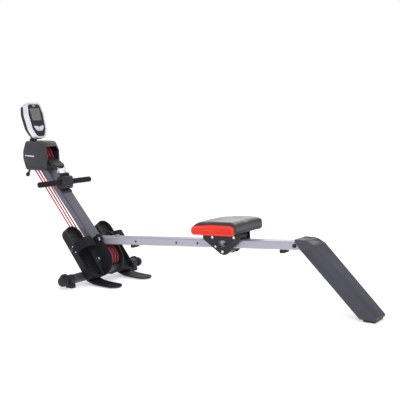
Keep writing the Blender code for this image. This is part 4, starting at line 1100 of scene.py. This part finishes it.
@dataclass
class PullHandle:
    """The pull handle: bar, ribbed foam grips, holder, strap, yoke and hooks."""

    axis: tuple[float, float] = (-0.262, 0.516)
    bar_radius: float = 0.0125
    grip_radius: float = 0.0155
    grip_start: float = 0.048
    grip_end: float = 0.206
    body: str = "handle"

    def build(self) -> None:
        """Builds every piece that moves with the handle, and its rest."""
        Shop.fit(Shop.cross_rod("bar", self.axis, -0.2025, 0.2025, self.bar_radius), self.body, Finishes.STEEL,
                 "handle_bar")
        for side, sign in SIDES:
            self.grip(side, sign)
        outline = rounded([(-0.283, 0.478), (-0.248, 0.478), (-0.2425, 0.500), (-0.2425, 0.532), (-0.250, 0.549),
                           (-0.276, 0.549), (-0.283, 0.530)], 0.009, 6)
        holder = Shop.soften(Shop.plate("holder_block", outline, -0.0445, 0.0445), 0.004, 4)
        Shop.carve(holder, [
            Shop.cross_rod("c", self.axis, -0.06, 0.06, self.bar_radius + GAP),
            Shop.post_room(0.0, 0.37)])
        Shop.fit(holder, self.body, Finishes.BLACK_MOULD, "handle_holder")
        for number, y in enumerate((-0.030, 0.030)):
            bm = bmesh.new()
            bmesh.ops.create_cone(bm, cap_ends=True, segments=20, radius1=0.0042, radius2=0.0034, depth=0.0016)
            place = Matrix.Translation((-0.2423, y, 0.516)) @ Matrix.Rotation(math.radians(90), 4, "Y")
            Shop.fit(Shop.settle(bm, f"holder_screw_{number}", place), self.body, Finishes.DARK_STEEL)
        self.strap()
        self.yoke()
        Shop.refined("handle_cradle", "base", Finishes.BLACK_MOULD, 0.001)

    def grip(self, side: str, sign: int) -> None:
        """A soft foam sleeve with shallow rings and a closed, rounded end.

        Args:
            side: left or right.
            sign: -1 for left, 1 for right.
        """
        r = self.grip_radius
        start, end = self.grip_start, self.grip_end
        profile = [(self.bar_radius + GAP, start), (r - 0.0012, start), (r, start + 0.0015)]
        for ring in range(3):
            y = start + 0.006 + ring * 0.004
            profile += [(r, y), (r - 0.0007, y + 0.0008), (r, y + 0.0016)]
        for step in range(5):
            angle = math.radians(90 * step / 4)
            profile.append((r - 0.005 + 0.005 * math.cos(angle), end - 0.005 + 0.005 * math.sin(angle)))
        profile += [(0.0, end), (0.0, end - 0.0032), (self.bar_radius + GAP, end - 0.0032)]
        made = Shop.turned("foam_grip_" + side, [(a, sign * b) for a, b in profile], self.axis, 56)
        Shop.fit(made, self.body, Finishes.FOAM, "grip_" + side)

    def strap(self) -> None:
        """The webbing tab with two rows of stitches."""
        line = [(-0.2625, 0.5493), (-0.2650, 0.5600), (-0.2740, 0.5665), (-0.2850, 0.5640), (-0.2840, 0.5615),
                (-0.2745, 0.5638), (-0.2672, 0.5585), (-0.2652, 0.5493)]
        made = Shop.plate("pull_tab", line, -0.0375, 0.0375)
        Shop.fit(Shop.soften(made, 0.0006, 2), self.body, Finishes.WEBBING, "pull_strap")
        bm = bmesh.new()
        for row in (-0.031, 0.031):
            for step in range(4):
                place = Matrix.Translation((-0.2830 + step * 0.0042, row, 0.5660 + min(step, 2) * 0.0004))
                bmesh.ops.create_cube(bm, size=1, matrix=place @ Matrix.Diagonal((0.0026, 0.0009, 0.0010, 1)))
        Shop.fit(Shop.settle(bm, "pull_tab_stitches", Matrix()), self.body, Finishes.THREAD)

    def yoke(self) -> None:
        """The moulded yoke with three ribs on top and two snap hooks, each with its gate."""
        cords = Cords()
        way = Vector(cords.yoke_end) - Vector(cords.yoke_start)
        length = way.length
        base = frame_at(cords.yoke_start, -math.atan2(way.y, way.x))
        outline = rounded([(0, -0.0385), (0.050, -0.0385), (length, -0.032), (length, 0.032), (0.050, 0.0385),
                           (0, 0.0385)], [0.006, 0.02, 0.008, 0.008, 0.02, 0.006], 7)
        block = Shop.soften(Shop.slab("yoke_block", [outline], -0.0105, 0.0105, base), 0.005, 4)
        Shop.fit(block, self.body, Finishes.BLACK_MOULD, "cord_yoke")
        for number, x in enumerate((0.018, 0.034, 0.050)):
            outline = rounded(rectangle(x, -0.031, x + 0.006, 0.031), 0.0028, 5)
            rib = Shop.slab(f"yoke_rib_{number}", [outline], 0.0095, 0.0116, base)
            Shop.fit(Shop.soften(rib, 0.0007, 2), self.body, Finishes.BLACK_MOULD)
        top = Vector(cords.yoke_end)
        for side, sign in SIDES:
            y = sign * 0.0265
            turns = [(0.0009, -0.0005), (0.0070, -0.0040), (0.0110, -0.0100), (0.0150, -0.0160), (0.0160, -0.0230),
                     (0.0120, -0.0290), (0.0050, -0.0300), (0.0010, -0.0250), (0.0020, -0.0180)]
            smooth = self.smoothed([(top.x + dx, y, top.y + dz) for dx, dz in turns])
            Shop.fit(Shop.wire("hook_wire_" + side, smooth, 0.0024, 5), self.body, Finishes.STEEL,
                     "snap_hook_" + side)
            gate = [(top.x + 0.0095, y, top.y - 0.0100), (top.x + 0.0025, y, top.y - 0.0185)]
            Shop.fit(Shop.wire("hook_gate_" + side, gate, 0.0013, 4), self.body, Finishes.STEEL)

    @staticmethod
    def smoothed(points: Sequence[Sequence[float]], steps: int = 5) -> list[Vector]:
        """Catmull-Rom points through the given ones.

        Args:
            points: the points to pass through.
            steps: divisions between two of them.

        Returns:
            The smoothed points.
        """
        spots = [Vector(p) for p in points]
        spots = [spots[0] * 2 - spots[1], *spots, spots[-1] * 2 - spots[-2]]
        made = []
        for a, b, c, d in zip(spots, spots[1:], spots[2:], spots[3:]):
            for step in range(steps):
                t = step / steps
                made.append(0.5 * (2 * b + (c - a) * t + (2 * a - 5 * b + 4 * c - d) * t * t
                                   + (3 * b - a - 3 * c + d) * t ** 3))
        return [*made, spots[-2]]


@dataclass
class Pedal:
    """A moulded foot pedal with rims, tread ribs, a heel tongue and a webbing strap."""

    side: str
    sign: int
    inner: float = 0.075
    outer: float = 0.183
    length: float = 0.269
    strap_limit: float = 0.0565
    axle: tuple[float, float] = (-0.055, 0.180)

    @property
    def middle(self) -> float:
        """The pedal's centre line across the machine."""
        return self.sign * (self.inner + self.outer) / 2

    @property
    def body(self) -> str:
        """The CAD body that the pedal is."""
        return "foot_" + self.side

    def slab(self, name: str, outline: Outline, low: float, high: float) -> bpy.types.Object:
        """A foot-side (y, along) outline with a thickness along the pedal's normal."""
        return Shop.facing(name, outline, low, high, PEDAL_FRAME @ Matrix.Translation((0, self.middle, 0)))

    def build(self) -> None:
        """Builds the shell, tongue, ribs, rivets and strap."""
        half = (self.outer - self.inner) / 2
        top = self.length
        rim = 0.006
        outline = rounded(rectangle(-half, -0.045, half, top),
                          [0.014, 0.014, 0.050, 0.050], 12)
        shell = Shop.soften(self.slab("pedal_shell_" + self.side, outline, 0.0, 0.040), 0.0045, 4)
        pocket_outline = rounded(rectangle(-half + rim, -0.10, half - rim, top - rim), [0, 0, 0.044, 0.044], 12)
        middle = self.middle
        cutters = [
            Shop.soften(self.slab("c", pocket_outline, 0.024, 0.060), 0.002, 2),
            Shop.block("c", (0.030, middle - 0.1, -0.1), (0.3, middle + 0.1, 0.0160)),
            Shop.block("c", (-0.2, middle - 0.1, -0.1), (0.3, middle + 0.1, 0.0006)),
            Shop.cross_rod("c", self.axle, middle - 0.08, middle + 0.08, 0.0063),
        ]
        for along in (0.045, 0.190, 0.222):
            hollow = rounded(rectangle(-0.030, along, 0.030, along + 0.016), 0.006)
            cutters.append(self.slab("c", hollow, -0.01, 0.012))
        Shop.carve(shell, cutters)
        Shop.fit(shell, self.body, Finishes.PEDAL, "pedal_" + self.side)
        self.tongue()
        self.ribs(half)
        self.strap()

    def tongue(self) -> None:
        """The heel tongue: a lofted scoop, dished across and turned up at its rounded tip."""
        bm = bmesh.new()
        across, along = 16, 34
        rows = []
        profile = [(0.036, 0.0300), (0.055, 0.0230), (0.078, 0.0155), (0.110, 0.0120), (0.150, 0.0098),
                   (0.190, 0.0088), (0.2225, 0.0092)]
        for side_index, drop in ((0, 0.0), (1, 0.0072)):
            grid = []
            for i in range(along + 1):
                t = i / along
                spot = t * (len(profile) - 1)
                k = min(int(spot), len(profile) - 2)
                f = spot - k
                x = profile[k][0] * (1 - f) + profile[k + 1][0] * f
                z = profile[k][1] * (1 - f) + profile[k + 1][1] * f
                end = max(0.0, (x - 0.180) / 0.0430)
                width = 0.0470 * math.sqrt(max(0.0025, 1 - end ** 2.3))
                row = []
                for j in range(across + 1):
                    v = 2 * j / across - 1
                    lift = 0.0035 * v ** 4
                    low = max(0.0010, z + lift - drop - 0.003 * (1 - t))
                    row.append(bm.verts.new((x, self.middle + v * width, z + lift if side_index == 0 else low)))
                grid.append(row)
            rows.append(grid)
        for grid in rows:
            for i in range(along):
                for j in range(across):
                    bm.faces.new((grid[i][j], grid[i][j + 1], grid[i + 1][j + 1], grid[i + 1][j]))
        upper, lower = rows
        for i in range(along):
            for j in (0, across):
                bm.faces.new((upper[i][j], upper[i + 1][j], lower[i + 1][j], lower[i][j]))
        for i in (0, along):
            for j in range(across):
                bm.faces.new((upper[i][j], upper[i][j + 1], lower[i][j + 1], lower[i][j]))
        made = Shop.settle(bm, "heel_tongue_" + self.side, Matrix(), 50)
        Shop.fit(Shop.soften(made, 0.0012, 2, 50), self.body, Finishes.PEDAL)

    def ribs(self, half: float) -> None:
        """Raised tread bars across the footboard and two rivets through each rim.

        Args:
            half: half the pedal's width.
        """
        for number in range(11):
            along = -0.006 + number * 0.0215
            if 0.128 < along < 0.150:
                continue
            wide = (half - 0.012) * (1.0 if along < 0.19 else 0.82)
            bar = rounded(rectangle(-wide, along, wide, along + 0.006), 0.0028, 4)
            made = self.slab(f"tread_{self.side}_{number}", bar, 0.0236, 0.0262)
            Shop.fit(Shop.soften(made, 0.0008, 2), self.body, Finishes.PEDAL)
        for number, along in enumerate((0.118, 0.153)):
            spot = PEDAL_FRAME @ Vector((0.0335, 0, along))
            for rim, sign in SIDES:
                start = self.middle + sign * (half + 0.0024)
                low, high = sorted((start, start + sign * 0.0016))
                rivet = Shop.cross_rod(f"strap_rivet_{self.side}_{rim}_{number}", (spot.x, spot.z), low, high, 0.0038,
                                       0.0007, 24)
                Shop.fit(rivet, self.body, Finishes.STEEL)

    def arch(self, grow: float, start: float) -> list[tuple[float, float]]:
        """The strap's arch as (rise, across) points.

        Args:
            grow: how far outside the strap's inner face it runs.
            start: height at which both ends begin.

        Returns:
            The points from one end to the other.
        """
        wide = self.strap_limit - 0.0022 + grow
        high = 0.1028 + grow
        ends = [(wide, start), (wide, 0.058 + grow), (0.039 + grow, high), (-0.039 - grow, high),
                (-wide, 0.058 + grow), (-wide, start)]
        return [(rise, across) for across, rise in rounded(ends, [0, 0.040, 0.040, 0.040, 0.040, 0], 14)]

    def band(self, name: str, inner: float, outer: float, start: float, low: float,
             high: float) -> bpy.types.Object:
        """A band of webbing between two arches.

        Args:
            name: the piece's name.
            inner: how far out its inner face runs.
            outer: how far out its outer face runs.
            start: height at which both ends begin.
            low: its edge nearer the heel.
            high: its edge nearer the toe.

        Returns:
            The new piece.
        """
        loop = self.arch(outer, start) + list(reversed(self.arch(inner, start)))
        return Shop.slab(name, [loop], low, high, PEDAL_FRAME @ Matrix.Translation((0, self.middle, 0)))

    def strap(self) -> None:
        """The foot strap: an arched webbing band, its overlap pad and two lines of stitching."""
        strap = Shop.soften(self.band("foot_strap_" + self.side, 0.0, 0.0022, 0.0280, 0.108, 0.163), 0.0007, 2, 50)
        Shop.fit(strap, self.body, Finishes.WEBBING, "pedal_strap_" + self.side)
        pad = Shop.soften(self.band("strap_overlap_" + self.side, 0.0020, 0.0040, 0.0700, 0.111, 0.160), 0.0007,
                          2, 50)
        Shop.fit(pad, self.body, Finishes.WEBBING)
        bm = bmesh.new()
        path = self.arch(0.0042, 0.0700)
        base = PEDAL_FRAME @ Matrix.Translation((0, self.middle, 0))
        for edge in (0.1135, 0.1575):
            for index in range(2, len(path) - 2, 2):
                a, b = Vector(path[index]), Vector(path[index + 1])
                if (b - a).length < 0.0004:
                    continue
                spot = (a + b) / 2
                angle = math.atan2((b - a).y, (b - a).x)
                place = (base @ Matrix.Translation((spot.x, spot.y, edge)) @ Matrix.Rotation(angle, 4, "Z")
                         @ Matrix.Diagonal((0.0028, 0.0007, 0.0008, 1)))
                bmesh.ops.create_cube(bm, size=1, matrix=place)
        Shop.fit(Shop.settle(bm, "strap_stitches_" + self.side, Matrix()), self.body, Finishes.THREAD)


@dataclass
class Rail:
    """The seat rail with its stops and bolts, and the rear leg."""

    body: str = "rail_assembly"
    half: float = RAIL_HALF
    leg_half: float = 0.0555

    @staticmethod
    def point(x: float, rise: float) -> tuple[float, float]:
        """The (x, z) above the rail's top line by a height along its normal."""
        spot = RAIL_FRAME @ Vector((x * STRETCH, 0, rise))
        return (spot.x, spot.z)

    def build(self) -> None:
        """Builds the rail and everything fixed to it."""
        Shop.refined("rail", self.body, Finishes.SILVER, 0.0006)
        for node in ("rail_stop_front", "rail_stop_rear"):
            Shop.refined(node, self.body, Finishes.RUBBER, 0.001)
        Shop.refined("rear_foot", self.body, Finishes.RUBBER, 0.001)
        bolt = self.point(1.177, -0.020)
        for side, sign in SIDES:
            start = self.half + GAP
            ends = [(0.0, start), (0.0094, start), (0.0096, start + 0.001), (0.0096, start + 0.004),
                    (0.0080, start + 0.0066), (0.0048, start + 0.0072), (0.0040, start + 0.0064),
                    (0.0, start + 0.0064)]
            made = Shop.turned("rail_bolt_" + side, [(r, sign * y) for r, y in ends], bolt, 48)
            Shop.fit(made, self.body, Finishes.BLACK_MOULD, "rail_end_bolt_" + side)
            for number, x in enumerate((0.255, 0.514, 0.642)):
                ring = Shop.turned(f"rail_hole_rim_{side}_{number}", [
                    (0.0034, sign * (self.half - 0.0020)), (0.0043, sign * (self.half - 0.0020)),
                    (0.0043, sign * (self.half + 0.0001)), (0.0058, sign * (self.half + 0.0001)),
                    (0.0055, sign * (self.half + 0.0007)), (0.0034, sign * (self.half + 0.0007))],
                    self.point(x, -0.020), 32)
                Shop.fit(ring, self.body, Finishes.BLACK_MOULD)
        lug = Shop.block("rail_lug", (0.098, -0.012, -0.0006), (0.115, 0.012, 0.008), RAIL_FRAME)
        Shop.fit(Shop.soften(lug, 0.003, 4), self.body, Finishes.SILVER)
        plug = rounded(rectangle(-self.half + 0.0006, -0.0394, self.half - 0.0006, -0.0006), 0.005)
        front = Shop.facing("rail_front_plug", plug, -0.0125 * STRETCH, -0.0102 * STRETCH, RAIL_FRAME)
        Shop.fit(Shop.soften(front, 0.0008, 2), self.body, Finishes.BLACK_MOULD)
        self.leg()

    def leg(self) -> None:
        """The rear leg: one long rounded casting that swallows the rail's end."""
        outline = rounded([(1.189, 0.3370), (1.189, 0.3245), (1.2215, 0.2870), (1.5110, 0.0110), (1.5180, 0.0105),
                           (1.5895, 0.0105), (1.5880, 0.0230), (1.2900, 0.3180), (1.2500, 0.3370)],
                          [0.002, 0.002, 0.02, 0.004, 0.002, 0.004, 0.02, 0.06, 0.05], 12)
        leg = Shop.soften(Shop.plate("leg_casting", outline, -self.leg_half, self.leg_half), 0.013, 6, 50)
        room = Shop.block("c", (1.0 * STRETCH, -self.half - GAP, -0.0403), (1.2504 * STRETCH, self.half + GAP, GAP),
                          RAIL_FRAME)
        Shop.carve(leg, [room])
        Shop.fit(leg, self.body, Finishes.LEG, "rear_leg")
        for number, shift in enumerate((0.0, 0.045)):
            x, z = 1.225 + shift, 0.3095 - shift * 0.62
            for side, sign in SIDES:
                low, high = span(sign, self.leg_half - 0.0004, self.leg_half + 0.0016)
                screw = Shop.cross_rod(f"leg_screw_{side}_{number}", (x, z), low, high, 0.0042, 0.0009, 28)
                Shop.fit(screw, self.body, Finishes.DARK_STEEL)


@dataclass
class Seat:
    """The padded seat, its red side trims, and the carriage that rolls on the rail."""

    body: str = "seat"
    half: float = 0.128
    rail_half: float = RAIL_HALF
    outer: float = 0.1385
    move_limit: float = 0.005
    crown: float = 0.003
    wrinkle: float = 0.0007
    cloth_frames: int = 20
    side_outline: list[tuple[float, float]] = field(default_factory=lambda: [
        (0.676, 0.0392), (0.932, 0.0392), (0.932, 0.0860), (0.915, 0.0965), (0.800, 0.1000), (0.700, 0.0950),
        (0.676, 0.0800)])

    def build(self) -> None:
        """Builds cushion, trims, carriage, rollers and axles."""
        self.cushion()
        trim = rounded([(0.677, 0.038), (0.920, 0.033), (0.920, 0.080), (0.800, 0.0865), (0.685, 0.0800)],
                       [0.018, 0.016, 0.018, 0.3, 0.018], 10)
        inset = rounded([(0.690, 0.0475), (0.907, 0.0435), (0.907, 0.0690), (0.800, 0.0745), (0.694, 0.0700)],
                        [0.010, 0.010, 0.012, 0.3, 0.012], 8)
        for side, sign in SIDES:
            low, high = span(sign, self.half + GAP, self.half + 0.0110)
            made = Shop.soften(Shop.plate("trim_" + side, trim, low, high, RAIL_FRAME), 0.0045, 5)
            low, high = span(sign, self.half + 0.0102, self.half + 0.02)
            Shop.carve(made, [Shop.plate("c", inset, low, high, RAIL_FRAME)])
            Shop.fit(made, self.body, Finishes.RED, "seat_trim_" + side)
        Shop.refined("seat_carriage", self.body, Finishes.FRAME_GREY, 0.001)
        self.underside()
        self.rollers()

    def cushion(self) -> None:
        """The pad: a leather cover, loosened as cloth within a limit, with piping round its edge."""
        outline = rounded(self.side_outline, [0.012, 0.012, 0.015, 0.03, 0.3, 0.04, 0.02], 8)
        small = [(0.803 + (x - 0.803) * 0.985, 0.0392 + (h - 0.0392) * 0.92) for x, h in outline]
        pad = Shop.plate("seat_pad", small, -self.outer + 0.0015, self.outer - 0.0015, RAIL_FRAME)
        Shop.soften(pad, 0.016, 5, 50)
        Shop.applied(pad)
        remesh = pad.modifiers.new("remesh", "REMESH")
        remesh.mode = "VOXEL"
        remesh.voxel_size = 0.005
        Shop.applied(pad)
        before = [vertex.co.copy() for vertex in pad.data.vertices]
        self.run_cloth(pad)
        self.shape(pad, before)
        smooth = pad.modifiers.new("smooth", "SMOOTH")
        smooth.iterations = 6
        finer = pad.modifiers.new("finer", "SUBSURF")
        finer.levels = finer.render_levels = 1
        room = rounded([(0.660, 0.020), (0.9204, 0.020), (0.9204, 0.0804), (0.800, 0.0869), (0.660, 0.0800)],
                       0.016, 8)
        rooms = [Shop.plate("c", room, *span(sign, self.half, 0.2), RAIL_FRAME) for _, sign in SIDES]
        Shop.carve(pad, rooms)
        Shop.fit(pad, self.body, Finishes.LEATHER, "seat_cushion")
        self.piping()

    def run_cloth(self, pad: bpy.types.Object) -> None:
        """Runs the cover as cloth and keeps the result, which isn't an even swelling: shape() limits it.

        Args:
            pad: the pad, changed in place.
        """
        cloth = pad.modifiers.new("cover", "CLOTH")
        cloth.settings.use_pressure = True
        cloth.settings.uniform_pressure_force = 4.0
        cloth.settings.effector_weights.gravity = 0.0
        cloth.settings.tension_stiffness = 15.0
        scene = bpy.context.scene
        for step in range(1, self.cloth_frames + 1):
            scene.frame_set(step)
        graph = bpy.context.evaluated_depsgraph_get()
        mesh = bpy.data.meshes.new_from_object(pad.evaluated_get(graph))
        pad.modifiers.clear()
        pad.data = mesh
        scene.frame_set(1)

    def shape(self, pad: bpy.types.Object, before: list[Vector]) -> None:
        """Limits the cloth's movement, crowns the top across and keeps the underside flat.

        Args:
            pad: the pad after the cloth step.
            before: its points before the cloth step.
        """
        into = RAIL_FRAME.inverted() @ Matrix.Translation((-SHIFT, 0, 0))
        back = into.inverted()
        for vertex, start in zip(pad.data.vertices, before):
            move = vertex.co - start
            if move.length > self.move_limit:
                move = move.normalized() * self.move_limit
            spot = into @ (start + move)
            across = spot.y / self.outer
            height = max(0.0, (spot.z - 0.060) / 0.045)
            spot.z += self.crown * height * (1 - across * across)
            fold = noise.noise(Vector((spot.x * 22, spot.y * 22, spot.z * 22)))
            spot.z += self.wrinkle * height * fold
            spot.z = max(spot.z, 0.0394)
            spot.y = max(-self.outer, min(self.outer, spot.y))
            spot.x = max(0.676, min(0.9335, spot.x))
            vertex.co = back @ spot

    def piping(self) -> None:
        """A welt sewn round the pad just above its board."""
        base = RAIL_FRAME
        corners = rounded(rectangle(0.6785, -self.half + 0.0015, 0.9305, self.half - 0.0015), 0.016, 8)
        points = [base @ Vector((x, y, 0.0470)) for x, y in corners]
        points.append(points[0])
        Shop.fit(Shop.wire("seat_piping", points, 0.0022, 4), self.body, Finishes.PIPING)
        board = rounded(rectangle(0.684, -self.half + 0.006, 0.924, self.half - 0.006), 0.016, 8)
        made = Shop.slab("seat_board", [board], 0.0390, 0.0440, base)
        Shop.fit(Shop.soften(made, 0.001, 2), self.body, Finishes.BLACK_MOULD)

    def underside(self) -> None:
        """Bolts and stiffening lips on the carriage's side plates."""
        for side, sign in SIDES:
            for label, x, rise, radius in (("pin", 0.759, -0.030, 0.0060), ("boss", 0.812, -0.018, 0.0085)):
                spot = Rail.point(x, rise)
                low, high = span(sign, 0.0506, 0.0548)
                made = Shop.cross_rod(f"carriage_{label}_{side}", spot, low, high, radius, 0.0012, 32)
                Shop.fit(made, self.body, Finishes.STEEL if label == "pin" else Finishes.BLACK_MOULD)
            for number, x in enumerate((0.715, 0.890)):
                low, high = span(sign, 0.0520, 0.0575)
                made = Shop.block(f"carriage_gusset_{side}_{number}", (x - 0.004, low, 0.0270),
                                  (x + 0.004, high, 0.0352), RAIL_FRAME)
                Shop.fit(Shop.soften(made, 0.0015, 2), self.body, Finishes.FRAME_GREY)

    def rollers(self) -> None:
        """The flanged rollers and their axles with hexagon nuts."""
        places = (("front", Rail.point(0.745, 0.0153)), ("rear", Rail.point(0.867, 0.0153)),
                  ("lower", Rail.point(0.798, -0.0553)))
        half = self.rail_half
        for where, centre in places:
            profile = [(0.0044, -0.0440), (0.0180, -0.0440), (0.0190, -0.0430), (0.0190, -half - 0.0026),
                       (0.0180, -half - 0.0016), (0.0150, -half - 0.0006), (0.0150, half + 0.0006),
                       (0.0180, half + 0.0016), (0.0190, half + 0.0026), (0.0190, 0.0430), (0.0180, 0.0440),
                       (0.0044, 0.0440)]
            made = Shop.turned("roller_" + where, profile, centre, 56)
            Shop.fit(made, "spool_" + where, Finishes.ROLLER, "seat_roller_" + where)
            shaft = Shop.cross_rod("axle_" + where, centre, -0.0548, 0.0548, 0.0039)
            Shop.fit(shaft, self.body, Finishes.STEEL, "roller_axle_" + where)
            for side, sign in SIDES:
                low, high = span(sign, 0.0508, 0.0556)
                nut = Shop.plate(f"axle_nut_{where}_{side}", hexagon(centre, 0.0078), low, high)
                Shop.soften(nut, 0.0008, 2)
                Shop.fit(nut, self.body, Finishes.STEEL)


@dataclass
class Studio:
    """The floor, lights and camera."""

    camera_at: tuple[float, float, float] = (2.8175, -3.3334, 0.9692)
    turn: float = 33.198
    down: float = 7.066
    lens: float = 72.55
    ambient: float = 0.66

    def build(self) -> None:
        """Sets the floor, the surroundings, the lights and the camera, in that order."""
        self.lay_floor()
        self.light_world()
        self.light("key_light", (1.6, -2.6, 3.2), 2.6, 34.0)
        self.light("fill_light", (-3.0, -1.8, 2.0), 3.0, 7.0)
        self.light("rim_light", (-0.9, 3.4, 2.2), 2.8, 40.0)
        self.set_camera()

    @staticmethod
    def lay_floor() -> None:
        """A pale floor that stays out of the export."""
        bpy.ops.mesh.primitive_plane_add(size=60, location=(0, 0, -0.0006))
        floor = bpy.context.active_object
        floor.name = "studio_floor"
        paper = bpy.data.materials.new("studio_paper")
        paper.use_nodes = True
        shader = paper.node_tree.nodes["Principled BSDF"]
        shader.inputs["Base Color"].default_value = (0.95, 0.955, 0.93, 1)
        shader.inputs["Roughness"].default_value = 0.9
        shader.inputs["Specular IOR Level"].default_value = 0.0
        shader.inputs["Emission Color"].default_value = (1, 1, 1, 1)
        shader.inputs["Emission Strength"].default_value = 0.44
        floor.data.materials.append(paper)

    def light_world(self) -> None:
        """Even surroundings that the camera sees as white."""
        world = bpy.data.worlds.new("studio_world")
        world.use_nodes = True
        tree = world.node_tree
        back = tree.nodes["Background"]
        back.inputs["Color"].default_value = (0.955, 0.945, 1.0, 1)
        back.inputs["Strength"].default_value = self.ambient
        seen = tree.nodes.new("ShaderNodeBackground")
        path = tree.nodes.new("ShaderNodeLightPath")
        blend = tree.nodes.new("ShaderNodeMixShader")
        tree.links.new(path.outputs["Is Camera Ray"], blend.inputs["Fac"])
        tree.links.new(back.outputs["Background"], blend.inputs[1])
        tree.links.new(seen.outputs["Background"], blend.inputs[2])
        tree.links.new(blend.outputs["Shader"], tree.nodes["World Output"].inputs["Surface"])
        seen.inputs["Color"].default_value = (1.0, 1.0, 1.0, 1)
        bpy.context.scene.world = world
        bpy.context.scene.view_settings.view_transform = "Standard"

    def set_camera(self) -> None:
        """The view camera, moved into the frame with everything else."""
        data = bpy.data.cameras.new("view_camera")
        data.lens = self.lens
        data.sensor_width = 36.0
        data.clip_end = 100.0
        camera = bpy.data.objects.new("view_camera", data)
        bpy.context.scene.collection.objects.link(camera)
        x, y, z = self.camera_at
        camera.location = (x + SHIFT, y, z)
        camera.rotation_euler = (math.radians(90 - self.down), 0, math.radians(self.turn))
        bpy.context.scene.camera = camera

    @staticmethod
    def light(name: str, place: Sequence[float], size: float, power: float) -> None:
        """A large soft square light aimed at the machine's middle.

        Args:
            name: the light's name.
            place: where it stands.
            size: length of its side.
            power: its power, in watts.
        """
        data = bpy.data.lights.new(name, "AREA")
        data.size = size
        data.energy = power
        lamp = bpy.data.objects.new(name, data)
        bpy.context.scene.collection.objects.link(lamp)
        lamp.location = place
        lamp.rotation_euler = (Vector((0, 0, 0.35)) - Vector(place)).to_track_quat("-Z", "Y").to_euler()


def main() -> None:
    """Builds the studio and every sub-assembly, in order."""
    logging.basicConfig(level=logging.INFO, format="%(message)s")
    Studio().build()
    Cords().build()
    assemblies = [Stabilizer(), Base(), RollerHousing(), Console(), PullHandle(), Pedal("left", -1),
                  Pedal("right", 1), Rail(), Seat()]
    for assembly in assemblies:
        LOG.info("building %s", type(assembly).__name__)
        assembly.build()


if __name__ == "__main__":
    main()
